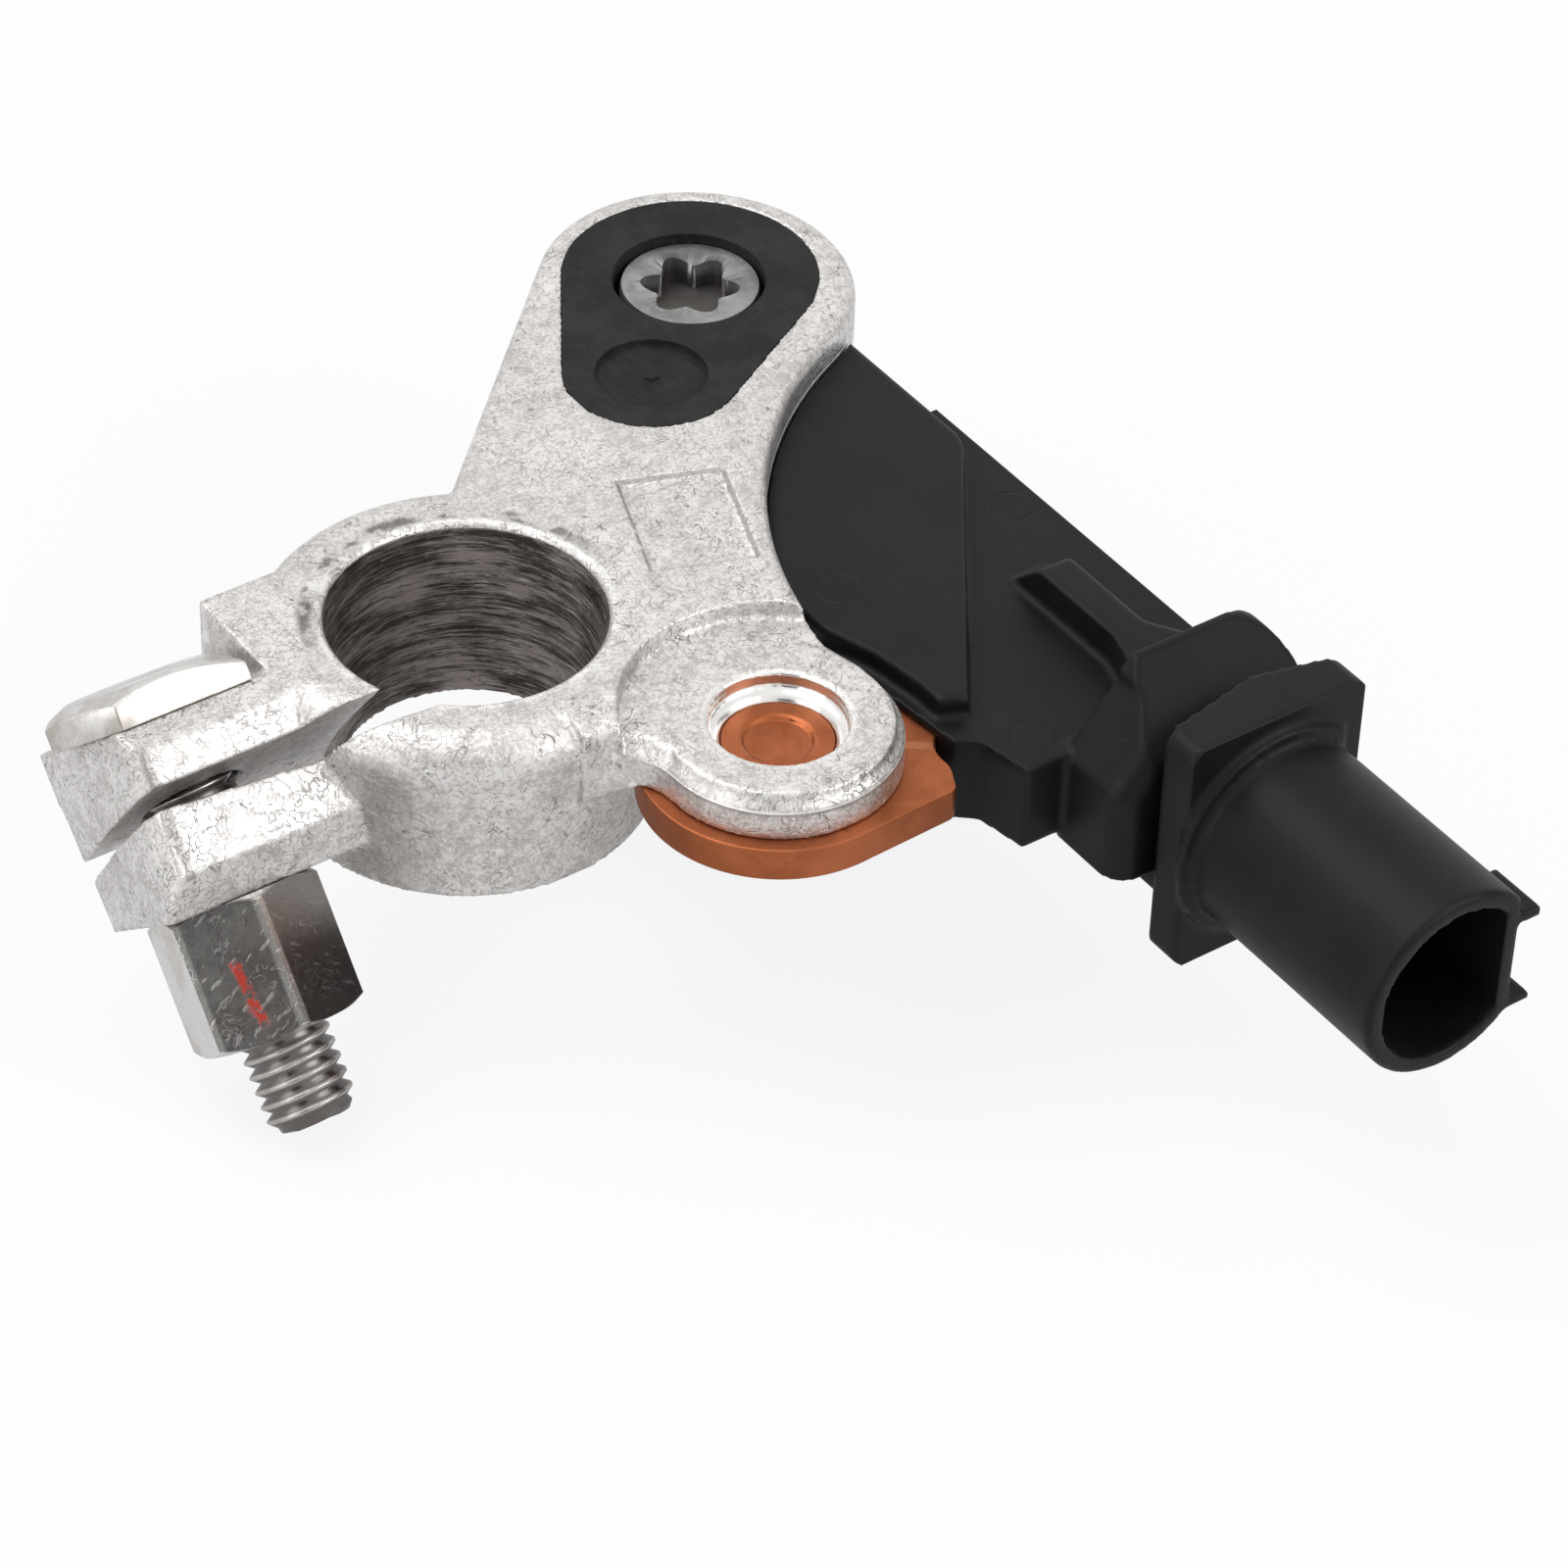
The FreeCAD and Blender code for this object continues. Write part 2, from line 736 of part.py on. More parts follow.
def padded(body, sketch, length, name):
    """A pad from a sketch."""
    pad = body.newObject("PartDesign::Pad", name)
    pad.Profile = sketch
    bind(pad, Length=length)
    return pad


def turned(body, corners, name):
    """A solid of revolution about Z from a half section."""
    sketch = sketch_on(body, "XZ_Plane", name + "_section")
    add_outline(sketch, corners)
    feature = body.newObject("PartDesign::Revolution", name)
    feature.Profile = sketch
    feature.ReferenceAxis = (sketch, ["V_Axis"])
    feature.Angle = 360
    return feature


def clamp_bolt():
    """The bolt: a long six-sided head with one end cut flat, and its shank."""
    blank = part_body("bolt_head_blank")
    head = sketch_on(blank, "XY_Plane", "bolt_head_outline")
    add_outline(head, [
        ("head_half_flat", "-head_half_width"),
        ("head_half_flat", "head_half_width"),
        ("-head_half_flat", "head_half_width"),
        ("-head_half_flat - head_point", "0"),
        ("-head_half_flat", "-head_half_width"),
    ])
    padded(blank, head, "head_height", "bolt_head_pad")
    crown = solid("Cone", "bolt_head_crown", ("-head_bevel_shift", "0", "0"),
                  Radius1="head_top_radius",
                  Radius2="head_top_radius + head_height / tan(head_bevel_angle)",
                  Height="head_height")
    shank = part_body("bolt_shank")
    tip = "head_height + head_seat + bolt_end"
    turned(shank, [
        ("0", "head_height / 2"),
        ("thread_radius", "head_height / 2"),
        ("thread_radius", tip + " - bolt_end_bevel"),
        ("thread_radius - bolt_end_bevel", tip),
        ("0", tip),
    ], "bolt_turning")
    bolt = fuse("clamp_bolt", [common("bolt_head", blank, crown), shank])
    place(bolt, bolt_place("-head_seat - head_height"), **BOLT_FRAME)
    return bolt


def clamp_nut():
    """The tall nut, chamfered at both ends."""
    flats = doc.addObject("Part::Prism", "nut_prism")
    flats.Polygon = 6
    bind(flats, Circumradius="nut_flats / sqrt(3)", Height="nut_height")
    place(flats, ("0", "0", "0"), Z_AXIS, "nut_turn + 30")
    body = part_body("nut_envelope")
    rise = "(nut_flats / sqrt(3) - nut_flats / 2) * tan(nut_bevel_angle)"
    bore_radius = "thread_radius + thread_clearance"
    turned(body, [
        (bore_radius, "0"),
        ("nut_flats / 2", "0"),
        ("nut_flats / sqrt(3)", rise),
        ("nut_flats / sqrt(3)", "nut_height - " + rise),
        ("nut_flats / 2", "nut_height"),
        (bore_radius, "nut_height"),
    ], "nut_turning")
    nut = common("clamp_nut", flats, body)
    place(nut, bolt_place("nut_seat"), **BOLT_FRAME)
    return nut


def insulator_insert():
    """The black insert: flush with the arm, with a flange below and a pocket for the stud's head."""
    core = raised("insert_core", insert_outline("insert_core_outline", 0),
                  "-plate_thickness", "plate_thickness")
    flange = raised("insert_flange", insert_outline("insert_flange_outline", num("insert_flange_width")),
                    "-plate_thickness", "insert_flange_height")
    pocket = solid("Cylinder", "head_pocket", ("stud_centre_x", "stud_centre_y", "-head_pocket_depth"),
                   Radius="head_pocket_radius", Height="head_pocket_depth * 2")
    hole = solid("Cylinder", "insert_hole", ("stud_centre_x", "stud_centre_y", "-plate_thickness * 2"),
                 Radius="stud_shank_radius", Height="plate_thickness * 2")
    gate = solid("Cylinder", "gate_recess", ("insert_foot_x", "insert_foot_y", "-gate_depth"),
                 Radius="gate_radius", Height="gate_depth * 2")
    nub = solid("Cylinder", "gate_nub", ("insert_foot_x", "insert_foot_y", "-gate_depth * 2"),
                Radius="gate_nub_radius", Height="gate_depth * 1.6")
    hollowed = cut("insert_hollowed", fuse("insert_solid", [core, flange]), [pocket, hole, gate])
    return fuse("insulator_insert", [hollowed, nub])


def lobe_recess():
    """The six-lobed drive recess in the stud's head."""
    side = num("lobe_half_angle")
    edges = []
    for lobe in range(6):
        turn = lobe * 60 + 20
        start = on_circle(STUD, num("lobe_side_radius"), turn - side)
        end = on_circle(STUD, num("lobe_side_radius"), turn + side)
        following = on_circle(STUD, num("lobe_side_radius"), turn + 60 - side)
        tip = on_circle(STUD, num("lobe_tip_radius"), turn)
        valley = on_circle(STUD, num("lobe_valley_radius"), turn + 30)
        edges.append(Part.Arc(start, tip, end).toShape())
        edges.append(Part.Arc(end, valley, following).toShape())
    outline = shaped("lobe_outline", face_of(edges))
    return raised("lobe_recess", outline, "stud_head_height - head_pocket_depth - lobe_depth",
                  "lobe_depth * 2")


def ground_stud():
    """The stud: a low round head with a six-lobed recess, a pressed shank and the thread."""
    body = part_body("stud_turning")
    top = "stud_head_height - head_pocket_depth"
    foot = "-plate_thickness - shunt_thickness"
    turned(body, [
        ("0", foot + " - stud_length"),
        ("thread_radius - bolt_end_bevel", foot + " - stud_length"),
        ("thread_radius", foot + " - stud_length + bolt_end_bevel"),
        ("thread_radius", foot),
        ("stud_shank_radius", foot),
        ("stud_shank_radius", "-head_pocket_depth"),
        ("stud_head_radius", "-head_pocket_depth"),
        ("stud_head_radius", top + " - stud_head_round"),
        ("stud_head_radius - stud_head_round", top),
        ("0", top),
    ], "stud_turned")
    place(body, ("stud_centre_x", "stud_centre_y", "0"))
    return cut("ground_stud", body, [lobe_recess()])


def eye_rivet():
    """The copper rivet that holds the battery plate under the eye."""
    body = part_body("eye_rivet")
    foot = "-plate_thickness - shunt_thickness"
    turned(body, [
        ("0", foot + " - rivet_foot_height"),
        ("rivet_foot_radius - rivet_foot_bevel", foot + " - rivet_foot_height"),
        ("rivet_foot_radius", foot + " - rivet_foot_height + rivet_foot_bevel"),
        ("rivet_foot_radius", foot),
        ("rivet_radius", foot),
        ("rivet_radius", "-rivet_top_depth"),
        ("rivet_punch_radius", "-rivet_top_depth"),
        ("rivet_punch_radius - rivet_punch_draft", "-rivet_top_depth - rivet_punch_depth"),
        ("0", "-rivet_top_depth - rivet_punch_depth"),
    ], "rivet_turned")
    place(body, ("eye_centre_x", "eye_centre_y", "0"))
    return body


def battery_plate_outline():
    """The disc under the eye and its tail, with the notch at the housing's corner."""
    disc = Part.Face(Part.Wire(Part.makeCircle(num("eye_disc_radius"), EYE)))
    tail = polygon([
        point("eye_centre_x", "eye_centre_y - eye_disc_radius"),
        point("tail_end_x - 1", "tail_corner_y"),
        point("tail_end_x", "tail_corner_y + 2"),
        point("tail_end_x", "tail_notch_y - 1"),
        point("tail_end_x + 0.4", "tail_notch_y"),
        point("tail_entry_x - 0.3", "shunt_corner_y - 0.1"),
        point("tail_entry_x + 1.2", "shunt_corner_y"),
        point("shunt_right", "shunt_corner_y"),
        point("shunt_right", "battery_plate_far"),
        point("eye_centre_x", "battery_plate_far"),
    ])
    return disc.fuse(tail).removeSplitter().Faces[0]


def shunt():
    """Battery plate, resistor strip and ground plate, butted end to end."""
    battery = raised("battery_plate_blank", shaped("battery_plate_outline", battery_plate_outline()),
                     "-plate_thickness - shunt_thickness", "shunt_thickness")
    rivet_hole = solid("Cylinder", "rivet_hole",
                       ("eye_centre_x", "eye_centre_y", "-plate_thickness * 2"),
                       Radius="rivet_radius", Height="plate_thickness * 2")
    ring_space = solid("Cylinder", "ring_space", ("0", "0", "-ring_height"),
                       Radius="ring_top_radius", Height="ring_height")
    battery_plate = cut("shunt_battery_plate", battery, [rivet_hole, ring_space])
    resistor = solid("Box", "shunt_resistor",
                     ("shunt_left", "battery_plate_far", "-plate_thickness - shunt_thickness"),
                     Length="shunt_right - shunt_left", Width="resistor_far - battery_plate_far",
                     Height="shunt_thickness")
    strip = solid("Box", "ground_strip", ("shunt_left", "resistor_far", "-plate_thickness - shunt_thickness"),
                  Length="shunt_right - shunt_left", Width="stud_centre_y - resistor_far",
                  Height="shunt_thickness")
    disc = solid("Cylinder", "ground_disc", ("stud_centre_x", "stud_centre_y",
                                             "-plate_thickness - shunt_thickness"),
                 Radius="stud_disc_radius", Height="shunt_thickness")
    stud_hole = solid("Cylinder", "stud_hole", ("stud_centre_x", "stud_centre_y", "-plate_thickness * 2"),
                      Radius="stud_shank_radius", Height="plate_thickness * 2")
    ground_plate = cut("shunt_ground_plate", fuse("ground_plate_blank", [strip, disc]), [stud_hole])
    return [battery_plate, resistor, ground_plate]


def low_outline():
    """Outline of the housing's lower body."""
    return polygon([
        point("cavity_left - 4.3", "shunt_corner_y - 2"),
        point("cavity_left - 2.8", "shunt_corner_y - 3.2"),
        point("cavity_left - 2.1", "low_deck_near_y"),
        point("housing_far_x", "low_deck_near_y"),
        point("housing_far_x", "low_deck_far_y"),
        point("high_deck_x", "low_deck_far_y"),
        point("high_deck_x", "high_deck_far_y"),
        point("cavity_left + 0.3", "high_deck_far_y - 0.6"),
        point("cavity_left - 3.2", "4"),
        point("cavity_left - 5.7", "-11.2"),
    ])


def high_outline():
    """Outline of the housing's upper deck, which lies beside the arm."""
    return polygon([
        point("high_deck_x", "high_deck_far_y"),
        point("cavity_left", "high_deck_far_y"),
        point("cavity_left - 5.7", "0"),
        point("cavity_left - 5.6", "-11.2"),
        point("cavity_left - 4.3", "-14.9"),
        point("cavity_left - 3.7", "-19.0"),
        point("cavity_left - 3.7", "-21.0"),
        point("cavity_left - 2.0", "-21.9"),
        point("high_deck_x - 0.4", "-0.4"),
        point("high_deck_x", "0.7"),
    ])


def decks():
    """The two deck levels, kept clear of the arm."""
    grown = shaped("arm_clearance", plate_outline().makeOffset2D(num("housing_gap"), fill=False))
    clear = raised("arm_space", grown, "-plate_thickness", "plate_thickness * 2")
    low = shaped("low_deck_outline", low_outline())
    high = shaped("high_deck_outline", high_outline())
    lower = raised("housing_base", low, "-" + HOUSING_FOOT, HOUSING_FOOT + " - plate_thickness")
    low_deck = raised("low_deck", low, "-plate_thickness", "plate_thickness - low_deck_depth")
    high_deck = raised("high_deck", high, "-plate_thickness", "plate_thickness - high_deck_depth")
    upper = cut("decks", fuse("deck_blank", [low_deck, high_deck]), [clear])
    return [lower, upper]


def rib():
    """The rib along the low deck, ramped at its tip and flared at the neck."""
    half = num("rib_width / 2")
    centre = num("rib_centre_x")
    side = polygon([
        Vector(centre - half, num("rib_tip_y"), num("-low_deck_depth - 0.3")),
        Vector(centre - half, num("rib_tip_y - rib_rise"), num("-rib_top_depth")),
        Vector(centre - half, num("neck_far_y - 1"), num("-rib_top_depth")),
        Vector(centre - half, num("neck_far_y - 1"), num("-low_deck_depth - 0.3")),
    ])
    ridge = shaped("rib_ridge", side.extrude(Vector(half * 2, 0, 0)))
    wide = num("rib_flare_width / 2")
    plan = polygon([
        point("rib_centre_x - rib_width / 2", "rib_flare_y"),
        Vector(centre - wide * 0.6, num("neck_far_y"), 0),
        Vector(centre - wide * 0.6, num("neck_far_y - 1"), 0),
        Vector(centre + wide, num("neck_far_y - 1"), 0),
        Vector(centre + wide, num("neck_far_y"), 0),
        point("rib_centre_x + rib_width / 2", "rib_flare_y"),
    ])
    wing = raised("rib_flare", shaped("rib_flare_outline", plan), "-low_deck_depth - 0.3",
                  "low_deck_depth + 0.3 - rib_top_depth")
    return [ridge, wing]


def neck():
    """The block between the body and the flange, sloping to the flange, and its lobe on the left."""
    lean = math.sqrt(0.5)
    round_top = point("neck_right - neck_round", "neck_far_y", "neck_top")
    round_middle = point("neck_right - neck_round", "neck_far_y", "neck_top - neck_round")
    round_middle += Vector(lean, 0, lean) * num("neck_round")
    round_end = point("neck_right", "neck_far_y", "neck_top - neck_round")
    straight = [
        round_end,
        point("neck_right", "neck_far_y", "-neck_foot_depth"),
        point("neck_left", "neck_far_y", "-neck_foot_depth"),
        point("neck_left", "neck_far_y", "neck_top - neck_bevel"),
        point("neck_left + neck_bevel", "neck_far_y", "neck_top"),
        round_top,
    ]
    section = [Part.makeLine(*ends) for ends in zip(straight, straight[1:])]
    section.append(Part.Arc(round_top, round_middle, round_end).toShape())
    reach = Vector(0, num("flange_far_y - neck_far_y"), 0)
    blank = shaped("neck_blank", face_of(section).extrude(reach))
    side = [
        point("0", "neck_far_y", "neck_top"),
        point("0", "neck_far_y - neck_top_length", "neck_top"),
        point("0", "flange_far_y", "neck_top - neck_slope_drop"),
        point("0", "flange_far_y", "-neck_foot_depth"),
        point("0", "neck_far_y", "-neck_foot_depth"),
    ]
    sloping = shaped("neck_slope", polygon(side).extrude(Vector(num("flange_right * 2"), 0, 0)))
    lobe_section = [
        point("lobe_left", "neck_far_y", "-lobe_foot_depth"),
        point("lobe_left", "neck_far_y", "-low_deck_depth - 0.4"),
        point("neck_left", "neck_far_y", "neck_top - neck_bevel * 1.5"),
        point("neck_left + 1", "neck_far_y", "neck_top - neck_bevel * 1.5"),
        point("neck_left + 1", "neck_far_y", "-lobe_foot_depth"),
    ]
    lobe_blank = shaped("lobe_blank", polygon(lobe_section).extrude(
        Vector(0, num("lobe_near_y - neck_far_y"), 0)))
    lobe_near = num("lobe_near_y")
    left = num("neck_left")
    lobe = eased("Fillet", "neck_lobe", lobe_blank, num("lobe_round"),
                 lambda edge, middle: abs(middle.y - lobe_near) < 0.01 and middle.x < left
                 and abs(edge.tangentAt(edge.FirstParameter).x) < 0.9)
    return [common("neck", blank, sloping), common("neck_lobe_sloping", lobe, sloping)]


def flange():
    """The square flange with rounded corners, thicker in the middle of its far side."""
    outline = polygon([
        point("flange_left", "flange_far_y - flange_thick"),
        point("flange_right", "flange_far_y - flange_thick"),
        point("flange_right", "flange_far_y"),
        point("flange_back_x", "flange_far_y + flange_back_rise"),
        point("flange_left", "flange_far_y"),
    ])
    plate = raised("flange_blank", shaped("flange_outline", outline), "-flange_foot_depth",
                   "flange_foot_depth + neck_top")
    middle_x = num("flange_back_x")
    reach = num("(flange_right - flange_left) / 4")
    return eased("Fillet", "flange", plate, num("flange_round"),
                 lambda edge, middle: abs(edge.tangentAt(edge.FirstParameter).y) > 0.9
                 and abs(middle.x - middle_x) > reach)


def socket():
    """The tube of the socket, flat on its far side, with a collar and two fins."""
    along = {"axis": X_AXIS, "angle": "90"}
    length = "flange_far_y - flange_thick - socket_mouth_y"
    root = ("socket_centre_x", "flange_far_y - flange_thick", "-socket_depth")
    tube = solid("Cylinder", "socket_tube", root, Radius="socket_radius", Height=length, **along)
    collar = solid("Cylinder", "socket_collar", root, Radius="collar_radius", Height="collar_height",
                   **along)
    keep = solid("Box", "socket_keep",
                 ("socket_flat_x - socket_radius * 4", "socket_mouth_y - 1", "-socket_depth * 3"),
                 Length="socket_radius * 4", Width="socket_radius * 6", Height="socket_depth * 4")
    body = common("socket_body", fuse("socket_blank", [tube, collar]), keep)
    mouth = num("socket_mouth_y")
    body = eased("Chamfer", "socket", body, num("socket_mouth_bevel"),
                 lambda edge, middle: abs(middle.y - mouth) < 0.01)
    fins = [
        solid("Box", "fin_" + level,
              ("socket_flat_x - socket_wall / 2", "socket_mouth_y",
               "-fin_%s_depth - fin_thickness / 2" % level),
              Length="fin_reach + socket_wall / 2", Width="fin_length", Height="fin_thickness")
        for level in ("high", "low")
    ]
    return [body] + fins


def socket_cutters():
    """The socket's hollow, flat on its far side as the tube is, and the bore for the pin carrier."""
    along = {"axis": X_AXIS, "angle": "90"}
    hollow = solid("Cylinder", "socket_hollow_round",
                   ("socket_centre_x", "flange_far_y - flange_thick", "-socket_depth"),
                   Radius="socket_radius - socket_wall", Height="-socket_mouth_y", **along)
    keep = solid("Box", "socket_hollow_keep",
                 ("socket_flat_x - socket_wall - socket_radius * 4", "socket_mouth_y - 1",
                  "-socket_depth * 3"),
                 Length="socket_radius * 4", Width="socket_radius * 6", Height="socket_depth * 4")
    carrier = solid("Cylinder", "carrier_bore", ("socket_centre_x", "carrier_far_y", "-socket_depth"),
                    Radius="carrier_radius", Height="carrier_far_y - flange_far_y + flange_thick",
                    **along)
    return [common("socket_hollow", hollow, keep), carrier]


def pin_box(name, side, far, near):
    """A straight contact pin, or the passage for one, beside the socket's axis."""
    return solid("Box", name,
                 ("socket_centre_x %s pin_spacing / 2 - pin_width / 2" % side, near,
                  "-socket_depth - pin_thickness / 2"),
                 Length="pin_width", Width="(%s) - (%s)" % (far, near), Height="pin_thickness")


def cover_box(name):
    """The cover, or the recess for it, in the housing's foot."""
    return solid("Box", name,
                 ("cavity_left - cover_lip", "cavity_near_y - cover_lip", "-" + HOUSING_FOOT),
                 Length="cavity_right - cavity_left + cover_lip * 2",
                 Width="cavity_far_y - cavity_near_y + cover_lip * 2", Height="cover_thickness")


def sensor_housing(shunt_pieces):
    """Body, rib, neck, flange and socket: one moulding round the shunt."""
    blank = fuse("housing_blank", decks() + rib() + neck() + [flange()] + socket())
    cavity = solid("Box", "cavity", ("cavity_left", "cavity_near_y", "-" + HOUSING_FOOT),
                   Length="cavity_right - cavity_left", Width="cavity_far_y - cavity_near_y",
                   Height=HOUSING_FOOT + " - plate_thickness - shunt_thickness")
    passages = [pin_box("pin_passage_power", "-", "pin_tail_y", "carrier_far_y - 1"),
                pin_box("pin_passage_data", "+", "pin_tail_y", "carrier_far_y - 1")]
    tools = list(shunt_pieces) + [cavity, cover_box("cover_recess")] + socket_cutters() + passages
    return cut("sensor_housing", blank, tools)


def pins_and_carrier():
    """Two contact pins and the plastic block that holds them."""
    power = pin_box("contact_pin_power", "-", "pin_tail_y", "pin_end_y")
    data = pin_box("contact_pin_data", "+", "pin_tail_y", "pin_end_y")
    block = solid("Cylinder", "carrier_block", ("socket_centre_x", "carrier_far_y", "-socket_depth"),
                  axis=X_AXIS, angle="90", Radius="carrier_radius",
                  Height="carrier_far_y - flange_far_y + flange_thick")
    keep = solid("Box", "carrier_keep",
                 ("socket_flat_x - socket_wall - socket_radius * 4", "socket_mouth_y - 1",
                  "-socket_depth * 3"),
                 Length="socket_radius * 4", Width="socket_radius * 6", Height="socket_depth * 4")
    carrier = cut("pin_carrier", common("carrier_flat", block, keep), [power, data])
    return [power, data, carrier]


def cover_and_board():
    """The cover in the housing's foot, and the board above it."""
    cover = cover_box("housing_cover")
    top = "-plate_thickness - shunt_thickness - board_gap"
    board = solid("Box", "circuit_board",
                  ("cavity_left + board_margin", "cavity_near_y + board_margin",
                   top + " - board_thickness"),
                  Length="cavity_right - cavity_left - board_margin * 2",
                  Width="cavity_far_y - cavity_near_y - board_margin * 2", Height="board_thickness")
    return [cover, board]


def sense_tap(side):
    """A short post between the shunt and the board."""
    return solid("Cylinder", "sense_tap_" + side,
                 ("tap_%s_x" % side, "tap_%s_y" % side,
                  "-plate_thickness - shunt_thickness - board_gap"),
                 Radius="tap_radius", Height="board_gap")


def chip(name, place_name, length, width, step="0"):
    """A flat package on the board's lower face."""
    foot = "-%s - chip_height" % BOARD_FOOT
    start = place_name + ("_start_y" if step != "0" else "_y")
    return solid("Box", name,
                 ("%s_x - (%s) / 2" % (place_name, width), "%s + (%s) - (%s) / 2" % (start, step, length),
                  foot),
                 Length=width, Width=length, Height="chip_height")


def chip_row(name, kind, count):
    """A row of like packages kept together as one node of separate solids."""
    row = doc.addObject("Part::Compound", name)
    row.Links = [
        chip("%s_%d" % (kind, index + 1), kind, kind + "_length", kind + "_width",
             "%s_pitch * %d + 0" % (kind, index))
        for index in range(count)
    ]
    return row


def electronics():
    """The packages on the board."""
    return [
        chip("measuring_chip", "sensor_chip", "sensor_chip_size", "sensor_chip_size"),
        chip("bus_chip", "bus_chip", "bus_chip_length", "bus_chip_width"),
        chip("temperature_chip", "heat_chip", "heat_chip_length", "heat_chip_width"),
        chip_row("capacitors", "capacitor", CAPACITOR_COUNT),
        chip_row("chip_resistors", "resistor", RESISTOR_COUNT),
    ]


def build():
    """Every piece of the sensor, each an object of its own."""
    pieces = [terminal_casting(), clamp_bolt(), clamp_nut(), insulator_insert(), ground_stud(), eye_rivet()]
    shunt_pieces = shunt()
    pieces += shunt_pieces
    pieces.append(sensor_housing(shunt_pieces))
    pieces += pins_and_carrier() + cover_and_board()
    pieces += [sense_tap("battery"), sense_tap("ground")] + electronics()
    return pieces


def check(pieces):
    """Stop if any feature failed or any piece is not a sound solid."""
    for thing in doc.Objects:
        if "Invalid" in thing.State or "Error" in thing.State:
            raise RuntimeError("feature failed: " + thing.Name)
    for piece in pieces:
        shape = piece.Shape
        if shape.isNull() or not shape.isValid() or not shape.Solids:
            raise RuntimeError("piece is not sound: " + piece.Label)


def main():
    pieces = build()
    doc.recompute()
    check(pieces)
    os.makedirs("parts", exist_ok=True)
    for piece in pieces:
        piece.Shape.exportStep("parts/%s.step" % piece.Label)
        box = piece.Shape.BoundBox
        print("%-22s solids %d  volume %9.2f  x %6.1f..%-6.1f y %6.1f..%-6.1f z %6.1f..%-6.1f" % (
            piece.Label, len(piece.Shape.Solids), piece.Shape.Volume,
            box.XMin, box.XMax, box.YMin, box.YMax, box.ZMin, box.ZMax))


main()
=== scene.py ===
"""Looks of a battery current sensor that clamps on the post of a car battery.

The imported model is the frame. Cast and moulded pieces get the soft edges of
their process, the bolt and the stud get cut threads, and every piece gets a
finish of its own.
"""

import json
import math

import bpy
from bpy.props import (
    FloatProperty,
    FloatVectorProperty,
    IntProperty,
    PointerProperty,
)
from mathutils import Matrix, Quaternion, Vector

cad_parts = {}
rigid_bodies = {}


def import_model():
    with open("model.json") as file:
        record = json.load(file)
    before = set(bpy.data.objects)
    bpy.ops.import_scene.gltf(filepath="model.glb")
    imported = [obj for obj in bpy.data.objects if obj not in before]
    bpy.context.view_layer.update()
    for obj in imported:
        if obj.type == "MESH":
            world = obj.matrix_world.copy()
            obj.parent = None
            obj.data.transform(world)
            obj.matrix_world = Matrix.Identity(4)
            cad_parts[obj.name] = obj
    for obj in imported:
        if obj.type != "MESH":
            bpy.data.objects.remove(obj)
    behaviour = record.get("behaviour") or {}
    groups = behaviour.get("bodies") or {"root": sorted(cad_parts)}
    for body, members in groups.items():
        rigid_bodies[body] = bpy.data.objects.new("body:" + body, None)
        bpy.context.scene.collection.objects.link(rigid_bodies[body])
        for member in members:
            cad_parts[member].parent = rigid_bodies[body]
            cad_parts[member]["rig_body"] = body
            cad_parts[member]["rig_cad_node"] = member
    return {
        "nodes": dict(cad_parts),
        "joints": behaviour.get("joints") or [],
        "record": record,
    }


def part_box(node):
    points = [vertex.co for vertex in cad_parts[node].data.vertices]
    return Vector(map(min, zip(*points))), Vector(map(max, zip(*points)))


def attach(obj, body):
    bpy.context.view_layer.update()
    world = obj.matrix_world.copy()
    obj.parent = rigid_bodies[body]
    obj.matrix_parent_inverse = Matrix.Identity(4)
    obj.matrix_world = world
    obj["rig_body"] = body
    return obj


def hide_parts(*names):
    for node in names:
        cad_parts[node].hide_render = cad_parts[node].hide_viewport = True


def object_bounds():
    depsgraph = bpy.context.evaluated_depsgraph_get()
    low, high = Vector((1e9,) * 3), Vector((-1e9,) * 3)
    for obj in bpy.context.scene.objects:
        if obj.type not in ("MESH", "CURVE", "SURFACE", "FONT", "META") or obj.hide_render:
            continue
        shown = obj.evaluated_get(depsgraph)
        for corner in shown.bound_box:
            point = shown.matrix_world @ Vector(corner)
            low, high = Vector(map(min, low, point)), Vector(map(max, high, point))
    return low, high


bl_info = {
    "name": "Battery current sensor",
    "version": (1, 0, 0),
    "blender": (4, 5, 0),
    "location": "View3D > Sidebar > Sensor",
    "description": "Dresses a post clamp with a built-in current sensor",
    "category": "Add Mesh",
}

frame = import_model()
CAD_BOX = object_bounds()
RECORD = frame["record"]
NODES = frame["nodes"]
MM = 0.001

# Places, sizes and turns of features that the frame's boxes don't name
EYE = Vector((11.3, -18.1)) * MM
EYE_TOP = -1.3 * MM
SEAM_HEIGHT = -2.42 * MM
PANEL = Vector((17.0, 0.3)) * MM
PANEL_SIZE = Vector((7.2, 9.6)) * MM
PANEL_TURN = math.radians(-20.5)
EAR_FACE = (0, -0.766, 0.643)
UNDER_BOLT_HEAD = -9.6 * MM
HALF_NUT = 4.92 * MM
FRONT_FLAT = 126
RIGHT_FLAT = 66
DRIVE_TURN = math.radians(20)
POCKET_IN_CAD = 5.6 * MM
EJECTOR_RADIUS = 1.5 * MM
EJECTOR_MARKS = ((22.8, -8.4, -2.4), (38.4, -6.1, -3.9), (25.5, -25.7, -3.9))
PLATE_CORNERS = (
    (18.9, -26.7),
    (19.9, -24.7),
    (19.9, -23.3),
    (20.3, -22.3),
    (21.3, -21.4),
)


# Places taken from the frame


def named(rows, name):
    """The row of a list in the record that has this name."""
    return next(row for row in rows if row["name"] == name)


